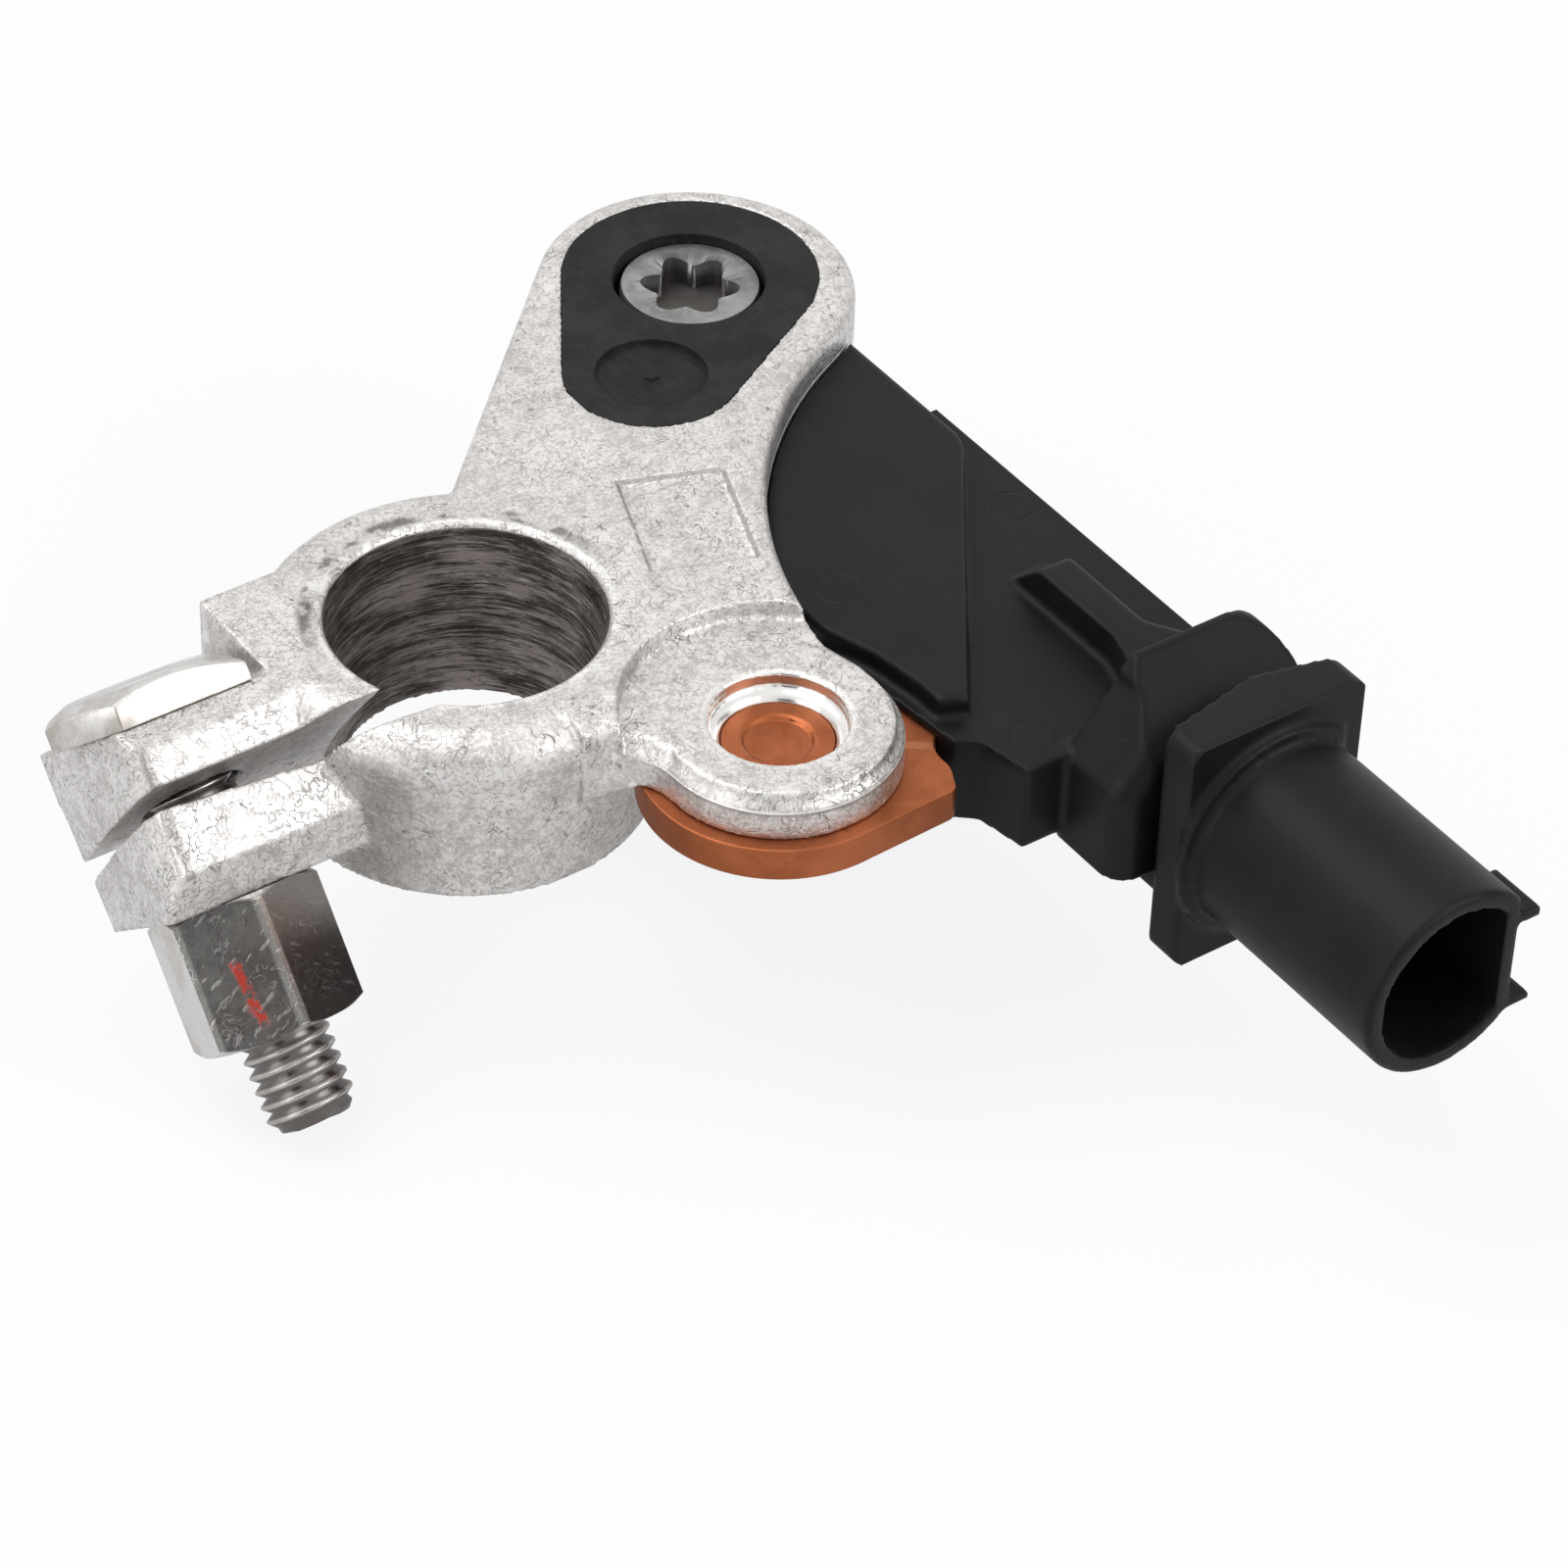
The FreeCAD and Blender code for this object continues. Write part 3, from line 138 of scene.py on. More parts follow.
def body_of(node):
    """The body that a node of the frame rides on."""
    bodies = RECORD["behaviour"]["bodies"]
    return next(body for body, nodes in bodies.items() if node in nodes)


def axis_frame(row):
    """Matrix with the origin of a joint or a mount and its axis as Z."""
    down = Vector(row["axis"])
    across = Vector((1, 0, 0))
    turned = Matrix((across, down.cross(across), down)).transposed()
    return Matrix.Translation(row["pos_m"]) @ turned.to_4x4()


def bolt_frame():
    """Matrix whose origin is the nut's seat and whose Z runs down the bolt."""
    return axis_frame(named(frame["joints"], "nut_spin"))


def stud_frame():
    """Matrix whose origin is the stud's mount and whose Z runs down the stud."""
    return axis_frame(named(RECORD["mounts"], "ground_stud"))


def reach_of(node, place, down):
    """How far a node reaches down from a place."""
    vertices = NODES[node].data.vertices
    return max((vertex.co - place.translation).dot(down) for vertex in vertices)


# Modelling steps


def deselect():
    """Leaves object mode with nothing selected."""
    if bpy.context.object and bpy.context.object.mode != "OBJECT":
        bpy.ops.object.mode_set(mode="OBJECT")
    bpy.ops.object.select_all(action="DESELECT")


def pick(piece):
    """Makes one object the only one selected, and the active one."""
    deselect()
    piece.hide_set(False)
    piece.select_set(True)
    bpy.context.view_layer.objects.active = piece


def edit(piece):
    """Edit mode on one object, with all of its mesh selected."""
    pick(piece)
    bpy.ops.object.mode_set(mode="EDIT")
    bpy.ops.mesh.select_all(action="SELECT")


def merged_copy(node, name):
    """A copy of a node with its loose triangles merged into one skin."""
    piece = NODES[node].copy()
    piece.data = NODES[node].data.copy()
    piece.name = name
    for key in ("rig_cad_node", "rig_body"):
        if key in piece:
            del piece[key]
    bpy.context.scene.collection.objects.link(piece)
    edit(piece)
    bpy.ops.mesh.remove_doubles(threshold=MM / 1000)
    bpy.ops.mesh.dissolve_limited(angle_limit=math.radians(0.5))
    bpy.ops.object.mode_set(mode="OBJECT")
    return piece


def applied(piece, kind, **settings):
    """Adds a modifier to a piece and applies it."""
    pick(piece)
    modifier = piece.modifiers.new(kind.title(), kind)
    for key, value in settings.items():
        setattr(modifier, key, value)
    bpy.ops.object.modifier_apply(modifier=modifier.name)


def cut_off(piece, point, normal):
    """Removes what lies beyond a plane and closes the cut."""
    edit(piece)
    bpy.ops.mesh.bisect(
        plane_co=point, plane_no=normal, use_fill=True, clear_outer=True
    )
    bpy.ops.object.mode_set(mode="OBJECT")


def shaded(piece):
    """Smooth shading with creases kept at sharp edges."""
    pick(piece)
    bpy.ops.object.shade_smooth_by_angle(angle=math.radians(30))


def joined(first, *others):
    """Joins objects into the first."""
    pick(first)
    for other in others:
        other.select_set(True)
    bpy.ops.object.join()
    return first


def dress(piece, node, finish):
    """Gives a new piece its finish and lets it stand for a node."""
    piece.data.materials.clear()
    piece.data.materials.append(finish)
    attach(piece, body_of(node))
    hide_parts(node)


def paint(node, finish):
    """Gives a node of the frame its finish."""
    mesh = NODES[node].data
    mesh.materials.clear()
    mesh.materials.append(finish)


def skinned(node, name, voxel, most=190000, shape=None):
    """A node's copy with the soft skin of a casting or a moulding."""
    piece = merged_copy(node, name)
    if shape is not None:
        shape(piece)
    applied(piece, "REMESH", mode="VOXEL", voxel_size=voxel)
    applied(piece, "SMOOTH", factor=0.5, iterations=1)
    faces = 2 * len(piece.data.polygons)
    if faces > most:
        applied(piece, "DECIMATE", ratio=most / faces)
    pick(piece)
    bpy.ops.object.shade_smooth()
    return piece


def carved(piece, cutter):
    """Cuts a closed shape out of a piece and removes the shape."""
    applied(piece, "BOOLEAN", operation="DIFFERENCE", solver="EXACT", object=cutter)
    pick(cutter)
    bpy.ops.object.delete()


def rounded_corners(piece, corners, width):
    """Rounds the upright edges of a plate that stand at some corners."""
    edit(piece)
    bpy.ops.mesh.select_all(action="DESELECT")
    bpy.ops.mesh.select_mode(type="EDGE")
    bpy.ops.object.mode_set(mode="OBJECT")
    mesh = piece.data
    for edge in mesh.edges:
        ends = [mesh.vertices[index].co for index in edge.vertices]
        edge.select = any(
            all(math.dist(end.xy / MM, corner) < 0.1 for end in ends)
            for corner in corners
        )
    bpy.ops.object.mode_set(mode="EDIT")
    bpy.ops.mesh.bevel(offset=width, segments=5, affect="EDGES")
    bpy.ops.object.mode_set(mode="OBJECT")


def broken_edges(piece, width, **settings):
    """Bevels the sharp edges of a piece."""
    applied(
        piece,
        "BEVEL",
        width=width,
        segments=2,
        limit_method="ANGLE",
        angle_limit=math.radians(28),
        **settings,
    )


def edged(node, name, width, corners=(), corner=0):
    """A node's copy with its sharp edges broken."""
    piece = merged_copy(node, name)
    if corners:
        rounded_corners(piece, corners, corner)
    broken_edges(piece, width, miter_outer="MITER_ARC", use_clamp_overlap=True)
    shaded(piece)
    applied(piece, "WEIGHTED_NORMAL", keep_sharp=True)
    return piece


def thread(name, place, start, end, sizes):
    """A cut thread from start to end along the Z of a place, with a bevelled end."""
    turns = math.ceil((end - start) / sizes.pitch) + 2
    foot = start - sizes.pitch
    corners = (
        (sizes.thread_root, foot),
        (sizes.thread_crest, foot + 0.42 * sizes.pitch),
        (sizes.thread_crest, foot + 0.58 * sizes.pitch),
        (sizes.thread_root, foot + sizes.pitch),
    )
    deselect()
    bpy.ops.mesh.primitive_plane_add(size=1)
    ridge = bpy.context.object
    ridge.name = name
    edit(ridge)
    bpy.ops.mesh.delete(type="EDGE_FACE")
    bpy.ops.object.mode_set(mode="OBJECT")
    for vertex, (radius, along) in zip(ridge.data.vertices, corners):
        vertex.co = (radius, 0, along)
    edit(ridge)
    for low in range(3):
        bpy.ops.mesh.select_all(action="DESELECT")
        bpy.ops.object.mode_set(mode="OBJECT")
        for vertex in ridge.data.vertices[low : low + 2]:
            vertex.select = True
        bpy.ops.object.mode_set(mode="EDIT")
        bpy.ops.mesh.edge_face_add()
    bpy.ops.object.mode_set(mode="OBJECT")
    applied(
        ridge,
        "SCREW",
        axis="Z",
        angle=math.tau,
        screw_offset=sizes.pitch,
        iterations=turns,
        steps=sizes.thread_steps,
        render_steps=sizes.thread_steps,
        use_merge_vertices=True,
        merge_threshold=MM / 1000,
    )
    edit(ridge)
    bpy.ops.mesh.remove_doubles(threshold=MM / 1000)
    bpy.ops.object.mode_set(mode="OBJECT")
    narrowed(ridge, end - sizes.thread_lead, end, sizes)
    cut_off(ridge, (0, 0, start), (0, 0, -1))
    cut_off(ridge, (0, 0, end), (0, 0, 1))
    edit(ridge)
    bpy.ops.mesh.normals_make_consistent(inside=False)
    bpy.ops.object.mode_set(mode="OBJECT")
    ridge.data.transform(place)
    return ridge


def narrowed(piece, low, high, sizes):
    """Cuts a thread's crests down to a cone, full at low and bare at high."""
    for vertex in piece.data.vertices:
        share = (vertex.co.z - low) / (high - low)
        if share > 0:
            radius = math.hypot(vertex.co.x, vertex.co.y)
            most = sizes.thread_crest + share * (sizes.thread_tip - sizes.thread_crest)
            if radius > most:
                vertex.co.x *= most / radius
                vertex.co.y *= most / radius


def threaded(head, place, neck, end, edge, sizes):
    """Breaks a head's edges and joins a cut thread to it below its neck."""
    broken_edges(head, edge)
    turns = thread(head.name + "_turns", place, neck - 0.2 * MM, end, sizes)
    piece = joined(head, turns)
    shaded(piece)
    return piece


# Shader maths


class Value:
    """An output of a finish's nodes that takes Python's operators."""

    def __init__(self, finish, socket):
        self.finish = finish
        self.socket = socket

    def math(self, operation, *values):
        return self.finish.node(
            "ShaderNodeMath", {"operation": operation}, dict(enumerate(values))
        )

    def __add__(self, other):
        return self.math("ADD", self, other)

    def __sub__(self, other):
        return self.math("SUBTRACT", self, other)

    def __rsub__(self, other):
        return self.math("SUBTRACT", other, self)

    def __mul__(self, other):
        return self.math("MULTIPLY", self, other)

    def __pow__(self, other):
        return self.math("POWER", self, other)

    def __abs__(self):
        return self.math("ABSOLUTE", self)

    __radd__ = __add__
    __rmul__ = __mul__

    def at_least(self, other):
        return self.math("MAXIMUM", self, other)


class Finish:
    """A material made of nodes, with one method that adds any node."""

    def __init__(self, name, constants=None):
        self.material = bpy.data.materials.new(name)
        self.material.use_nodes = True
        self.tree = self.material.node_tree
        self.shader = self.tree.nodes["Principled BSDF"]
        for key, value in (constants or {}).items():
            self.shader.inputs[key].default_value = value
        self.place = self.node("ShaderNodeTexCoord", out="Object")

    def node(self, kind, settings=None, values=None, out=0):
        made = self.tree.nodes.new(kind)
        for key, value in (settings or {}).items():
            setattr(made, key, value)
        for key, value in (values or {}).items():
            self.feed(made.inputs[key], value)
        return Value(self, made.outputs[out])

    def feed(self, socket, value):
        if isinstance(value, Value):
            self.tree.links.new(value.socket, socket)
        elif hasattr(socket.default_value, "__len__"):
            wanted = len(socket.default_value)
            socket.default_value = (*value, 1)[:wanted]
        else:
            socket.default_value = value

    def noise(self, scale, detail=3, rough=0.5, vector=None, distortion=0):
        """Noise whose grains are about 1 / scale metres wide."""
        return self.node(
            "ShaderNodeTexNoise",
            {"normalize": True},
            {
                "Vector": vector or self.place,
                "Scale": scale,
                "Detail": detail,
                "Roughness": rough,
                "Distortion": distortion,
            },
            out="Fac",
        )

    def spots(self, scale):
        """Distance to the nearest of many scattered points."""
        return self.node(
            "ShaderNodeTexVoronoi",
            {"feature": "F1"},
            {"Vector": self.place, "Scale": scale},
            out="Distance",
        )

    def stretched(self, factors):
        """The place with each axis scaled, for streaks and scratches."""
        return self.node(
            "ShaderNodeMapping",
            {"vector_type": "POINT"},
            {"Vector": self.place, "Scale": factors},
        )

    def along(self, direction, vector=None):
        """How far a point lies along a direction."""
        return self.node(
            "ShaderNodeVectorMath",
            {"operation": "DOT_PRODUCT"},
            {0: vector or self.place, 1: direction},
            out="Value",
        )

    def off(self, point, vector=None):
        """Distance from a point."""
        return self.node(
            "ShaderNodeVectorMath",
            {"operation": "DISTANCE"},
            {0: vector or self.place, 1: point},
            out="Value",
        )

    def step(self, value, low, high):
        """0 below low and 1 above high, smooth between them."""
        return self.node(
            "ShaderNodeMapRange",
            {"interpolation_type": "SMOOTHSTEP", "clamp": True},
            {"Value": value, "From Min": low, "From Max": high},
        )

    def below(self, value, low, high):
        """1 below low and 0 above high, smooth between them."""
        return 1 - self.step(value, low, high)

    def near(self, gap, full, gone):
        """1 where a gap is smaller than full, 0 where it is wider than gone."""
        return self.below(abs(gap), full, gone)

    def mix(self, factor, first, second):
        """A colour between two colours."""
        return self.node(
            "ShaderNodeMix",
            {"data_type": "RGBA", "clamp_factor": True},
            {0: factor, 6: first, 7: second},
            out=2,
        )

    def mix_normal(self, factor, first, second):
        """A normal between two normals."""
        return self.node(
            "ShaderNodeMix",
            {"data_type": "VECTOR"},
            {0: factor, 4: first, 5: second},
            out=1,
        )

    def edges(self):
        """1 on outer edges, 0 in hollows, about half on flats."""
        return self.node("ShaderNodeNewGeometry", out="Pointiness")

    def bump(self, height, distance):
        """A normal from a height in parts of a distance."""
        values = {"Height": height, "Distance": distance}
        return self.node("ShaderNodeBump", None, values)

    def wire(self, **links):
        """Joins varying values to the shader's own sockets."""
        for key, value in links.items():
            self.feed(self.shader.inputs[key.replace("_", " ").title()], value)
        return self.material


# Finishes


def scored_bore(finish, colours):
    """Colour, roughness and normal of the bore's wall: rings, tears, scores."""
    rings = finish.noise(1, 6, 0.8, finish.stretched((230, 230, 5200)))
    bands = finish.noise(1, 4, 0.65, finish.stretched((170, 170, 620)))
    tears = finish.noise(1, 5, 0.75, finish.stretched((520, 520, 1900)), 0.6)
    torn = finish.step(tears, 0.56, 0.6) * finish.step(bands, 0.42, 0.55)
    fine = finish.noise(1, 4, 0.75, finish.stretched((480, 480, 7600)))
    scores = finish.step(fine, 0.58, 0.64)
    colour = finish.mix(
        finish.step(rings * 0.55 + bands * 0.45, 0.44, 0.57),
        colours.bore_dark,
        colours.bore_light,
    )
    colour = finish.mix(torn * 0.75, colour, colours.bore_dark)
    colour = finish.mix(scores * 0.55, colour, colours.bore_score)
    normal = finish.bump(rings * 0.8 + scores * 0.3 - torn * 0.6, 0.1 * MM)
    return colour, 0.3 + rings * 0.28, normal


def panel_shadow_line(finish, right, far, height):
    """A fine dark line of painted shadow round the bare panel that is sunk in the arm."""
    cos, sin = math.cos(PANEL_TURN), math.sin(PANEL_TURN)
    over = (right - PANEL.x) * cos + (far - PANEL.y) * sin
    up = (far - PANEL.y) * cos - (right - PANEL.x) * sin
    border = (abs(over) - PANEL_SIZE.x / 2).at_least(abs(up) - PANEL_SIZE.y / 2)
    line = finish.near(border + 0.08 * MM, 0.08 * MM, 0.2 * MM)
    return line * finish.step(height, -0.7 * MM, -0.5 * MM)


def ear_shade_line(finish, right, height):
    """A dark line of painted shade beside the ears' outer ends, on their front faces."""
    level = finish.along(EAR_FACE)
    on_face = finish.step(level, 0.2 * MM, 0.45 * MM) * (
        finish.below(right, -13 * MM, -10 * MM)
    )
    painted_fold = right + 23.9 * MM + height * 0.02
    return finish.near(painted_fold, 0.2 * MM, 0.5 * MM) * on_face


def tinned_casting_finish(colours):
    """Tinned casting: a crinkled skin, pits, painted shade in the hollows, painted
    highlights on its rims, a scored bore.
    """
    finish = Finish("tinned_casting", {"Metallic": 1.0})
    flat_place = finish.stretched((1, 1, 0))
    radius = finish.off((0, 0, 0), flat_place)
    eye = finish.off((EYE.x, EYE.y, 0), flat_place)
    height = finish.along((0, 0, 1))
    right = finish.along((1, 0, 0))
    far = finish.along((0, 1, 0))

    # Regions of the casting
    bore = finish.below(radius, 9.12 * MM, 9.25 * MM) * (
        finish.below(height, -0.45 * MM, -0.3 * MM)
    )
    turned_hole = finish.below(eye, 4.52 * MM, 4.6 * MM) * (
        finish.below(height, -1.42 * MM, -1.34 * MM)
    )
    lip = finish.near(eye - 4.68 * MM, 0.12 * MM, 0.24 * MM)
    off_ring = finish.step(right, 2 * MM, 5 * MM)
    # A raised parting ridge that carries a painted highlight, with a painted shadow just
    # below it
    seam = finish.near(height - SEAM_HEIGHT, 0.03 * MM, 0.11 * MM) * off_ring
    seam_shadow = finish.near(
        height - SEAM_HEIGHT + 0.18 * MM, 0.03 * MM, 0.14 * MM
    ) * off_ring
    near_top = finish.step(height, -1.0 * MM, -0.6 * MM)

    # The skin's grain, crinkles, pits, stains and wear, with painted shade and highlights
    clouds = finish.noise(150, 3, 0.6)
    mottle = finish.noise(900, 4, 0.65)
    grain = finish.noise(3600, 3, 0.65)
    wrinkle = finish.noise(1250, 2.5, 0.55, distortion=0.5)
    lines = finish.near(wrinkle - 0.5, 0.004, 0.03)
    lines = lines * finish.step(clouds, 0.34, 0.6)
    worm = finish.noise(520, 2, 0.5, distortion=1.4)
    worms = finish.near(worm - 0.52, 0.002, 0.012)
    worms = worms * finish.step(finish.noise(330, 2, 0.5), 0.47, 0.56)
    pits = finish.below(finish.spots(850), 0.05, 0.18)
    pits = pits * finish.step(finish.noise(300, 2), 0.52, 0.62)
    edges = finish.edges()
    worn = finish.step(edges, 0.54, 0.61)
    # Painted shade in the hollows, darker where pointiness is low
    hollow_shade = finish.below(edges, 0.4, 0.47)
    rim = finish.near(radius - 10.1 * MM, 0.2 * MM, 0.8 * MM) * near_top
    stain = rim * finish.step(mottle * 0.4 + clouds * 0.6, 0.47, 0.55)
    stain = stain * finish.step(far, -2 * MM, 5 * MM)
    # A painted highlight on the bore's top edge, broken up by the mottle
    rim_highlight = finish.near(radius - 9.45 * MM, 0.1 * MM, 0.4 * MM) * near_top
    rim_highlight = rim_highlight * finish.step(mottle, 0.42, 0.56)
    tone = clouds * 0.3 + mottle * 0.35 + grain * 0.35

    cast = finish.mix(
        finish.step(tone, 0.38, 0.58), colours.casting_dark, colours.casting_light
    )
    painted_fold = ear_shade_line(finish, right, height)
    panel_shadow = panel_shadow_line(finish, right, far, height)
    # Dark marks: crinkles and worms, with painted shade beside the ears' outer ends and
    # round the panel
    dark = (lines * 0.5).at_least(worms * 0.75)
    dark = dark.at_least(painted_fold * 0.6).at_least(panel_shadow * 0.6)
    cast = finish.mix(dark, cast, colours.casting_line_and_shade)
    # Light marks: rubbed edges and the eye's lip, with painted highlights on the bore's
    # rim and the parting ridge
    bright = (worn * 0.6).at_least(rim_highlight * 0.6)
    bright = bright.at_least(lip * 0.45).at_least(seam * 0.8)
    cast = finish.mix(bright, cast, colours.casting_worn_and_highlight)
    # Darker mix: pits and the rim's stains, with painted shade in the hollows and under
    # the parting ridge
    dirt_and_shade = (hollow_shade * 0.55).at_least(pits * 0.7)
    dirt_and_shade = dirt_and_shade.at_least(stain * 0.8).at_least(seam_shadow * 0.4)
    cast = finish.mix(dirt_and_shade, cast, colours.casting_dirt_and_shade)
    relief = mottle * 0.35 + grain * 0.45 + seam * 1.6
    relief = relief - pits * 0.6 - lines * 0.45 - worms * 0.7
    skin = finish.bump(relief, 0.07 * MM)
    rough = 0.38 + tone * 0.14 + hollow_shade * 0.2 + lines * 0.12 + worms * 0.15 - worn * 0.1

    # The bore's wall and the eye's turned hole
    cut, cut_rough, cut_normal = scored_bore(finish, colours)
    smooth = finish.mix(
        finish.noise(1, 2, 0.5, finish.stretched((300, 300, 5000))),
        colours.casting_worn_and_highlight,
        colours.casting_light,
    )
    rough = rough * (1 - bore) + cut_rough * bore
    normal = finish.mix_normal(bore, skin, cut_normal)
    plain = finish.node("ShaderNodeNewGeometry", out="Normal")
    return finish.wire(
        base_color=finish.mix(turned_hole, finish.mix(bore, cast, cut), smooth),
        roughness=rough * (1 - turned_hole) + 0.24 * turned_hole,
        normal=finish.mix_normal(turned_hole, normal, plain),
    )


def zinc_steel_finish(colours, mark=None, film=None):
    """Bright zinc on steel, with handling scratches and a brown bloom."""
    finish = Finish("zinc_steel", {"Metallic": 1.0})
    bloom = finish.noise(260, 4, 0.6)
    streaks = finish.noise(1, 5, 0.75, finish.stretched((2600, 2600, 220)))
    scratches = finish.noise(1, 3, 0.6, finish.stretched((500, 3800, 900)))
    hairs = finish.noise(900, 1, 0.5, distortion=1.2)
    hairs = finish.near(hairs - 0.5, 0.001, 0.007)
    hairs = hairs * finish.step(finish.noise(420, 1), 0.5, 0.6)
    lines = finish.step(scratches, 0.6, 0.68)
    colour = finish.mix(
        finish.step(bloom, 0.4, 0.68), colours.zinc, colours.zinc_bloom
    )
    colour = finish.mix(lines * 0.3 + hairs * 0.5, colour, colours.zinc_worn)
    rough = 0.17 + bloom * 0.12 + streaks * 0.1 + lines * 0.12 + hairs * 0.1
    # A dark film laid on by the bolt and the nut, which also carries their painted shade
    if film is not None:
        shade, tint = film(finish)
        colour = finish.mix(shade, colour, tint)
    if mark is not None:
        dab = mark(finish)
        colour = finish.mix(dab, colour, colours.mark_red)
        rough = rough + dab * 0.2
    return finish.wire(
        base_color=colour,
        roughness=rough,
        normal=finish.bump(streaks * 0.4 + lines * 0.4 + hairs * 0.4, 0.012 * MM),
    )


def bolt_place(finish):
    """Where a point lies from the nut's seat: across, out and down."""
    place = bolt_frame()
    turn = place.to_3x3()
    spot = finish.node(
        "ShaderNodeVectorMath",
        {"operation": "SUBTRACT"},
        {0: finish.place, 1: place.translation},
    )
    return [finish.along(turn @ Vector(axis), spot) for axis in Matrix.Identity(3)]


def toward(across, out, degrees):
    """How far a point lies along a direction square to the bolt."""
    angle = math.radians(degrees)
    return across * math.cos(angle) + out * math.sin(angle)


def bolt_finish(colours):
    """The bolt's zinc, with a dark film on the thread and painted shade in its roots."""

    def thread_film_and_shade(finish):
        across, out, down = bolt_place(finish)
        reach = (across * across + out * out) ** 0.5
        thread = finish.below(reach, 3.05 * MM, 3.2 * MM) * (
            finish.step(down, UNDER_BOLT_HEAD - 0.3 * MM, UNDER_BOLT_HEAD)
        )
        # Lighter on the crests than in the roots: painted shade in the thread's hollows
        crest = finish.step(reach, 2.78 * MM, 2.92 * MM)
        return thread * (0.85 - crest * 0.6), colours.oil_film_and_shade

    material = zinc_steel_finish(colours, film=thread_film_and_shade)
    material.name = "zinc_bolt"
    return material


def marked_nut_finish(colours):
    """The nut's zinc, with a dab of red marking paint and painted reflection and shade on
    two flats.
    """

    def flat(finish, degrees):
        across, out = bolt_place(finish)[:2]
        way = toward(across, out, degrees)
        return finish.step(way, HALF_NUT - 0.2 * MM, HALF_NUT)

    def paint_dab(finish):
        """A thin broken streak down the flat that faces the front."""
        across, out, down = bolt_place(finish)
        wobble = finish.noise(900, 3, 0.6)
        side = toward(across, out, FRONT_FLAT - 90) - 0.2 * MM
        lean = (down - 5.7 * MM) * -0.1
        body = finish.near(
            side + lean + (wobble - 0.5) * 1.1 * MM, 0.16 * MM, 0.5 * MM
        )
        ends = finish.step(down, 3.3 * MM, 3.9 * MM) * (
            finish.below(down, 7.6 * MM, 8.3 * MM)
        )
        broken = finish.step(finish.noise(1700, 3, 0.7), 0.38, 0.52)
        return body * ends * broken * flat(finish, FRONT_FLAT) * 0.9

    def flat_shade_and_reflections(finish):
        """Painted reflection and shade: mottled brown-grey on the front flat, dark on the
        right flat.
        """
        across, out, down = bolt_place(finish)
        clouds = finish.noise(420, 4, 0.65)
        # The front flat: a painted reflection, mottled brown-grey
        front = 0.5 + finish.step(clouds, 0.36, 0.6) * 0.18
        front = flat(finish, FRONT_FLAT) * front
        # The right flat: painted shade, darker farther down the bolt
        side = 0.6 + finish.step(down, 2 * MM, 5 * MM) * 0.3
        side = flat(finish, RIGHT_FLAT) * side
        # The corners between the flats are left out, so they stay light as painted
        # highlights
        corner_right = toward(across, out, FRONT_FLAT - 30)
        corner_left = toward(across, out, FRONT_FLAT + 30)
        corner = corner_right.at_least(corner_left)
        off_corner_highlights = finish.below(corner, 5.5 * MM, 5.62 * MM)
        return front.at_least(side) * off_corner_highlights, colours.oil_film_and_shade

    material = zinc_steel_finish(colours, paint_dab, flat_shade_and_reflections)
    material.name = "zinc_nut"
    return material


def stud_steel_finish(colours):
    """Dull grey plated steel of the ground stud, with painted shade inside the drive."""
    finish = Finish("stud_steel", {"Metallic": 1.0})
    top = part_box("ground_stud")[1].z
    bloom = finish.noise(420, 4, 0.6)
    grain = finish.noise(2400, 3, 0.6)
    height = finish.along((0, 0, 1)) + bloom * 0.5 * MM
    # Painted shade inside the drive, darker towards its bottom
    drive_shade = finish.below(height, top - 1.2 * MM, top - 0.2 * MM)
    colour = finish.mix(
        finish.step(bloom, 0.35, 0.65), colours.stud_dark, colours.stud_light
    )
    colour = finish.mix(drive_shade * 0.85, colour, colours.casting_dirt_and_shade)
    return finish.wire(
        base_color=colour,
        roughness=0.45 + bloom * 0.2,
        normal=finish.bump(grain, 0.02 * MM),
    )


def copper_finish(colours):
    """Rolled copper, a little oxidised, bright where it was pressed, with painted shade in
    its hollows.
    """
    finish = Finish("copper", {"Metallic": 1.0})
    clouds = finish.noise(210, 5, 0.62, distortion=0.4)
    specks = finish.below(finish.spots(1500), 0.06, 0.2)
    specks = specks * finish.step(finish.noise(400, 2), 0.52, 0.6)
    rolled = finish.noise(1, 4, 0.7, finish.stretched((400, 2400, 400)))
    worn = finish.step(finish.edges(), 0.53, 0.62)
    # Painted shade in the hollows, darker where pointiness is low
    hollow_shade = finish.below(finish.edges(), 0.4, 0.48)
    dirt_and_shade = (hollow_shade * 0.6).at_least(specks * 0.5)
    colour = finish.mix(
        finish.step(clouds, 0.36, 0.64), colours.copper_dark, colours.copper_light
    )
    colour = finish.mix(worn * 0.5, colour, colours.copper_worn)
    colour = finish.mix(dirt_and_shade, colour, colours.copper_dirt_and_shade)
    return finish.wire(
        base_color=colour,
        roughness=0.34 + clouds * 0.16 + rolled * 0.08 - worn * 0.08,
        normal=finish.bump(clouds * 0.4 + rolled * 0.3, 0.03 * MM),
    )


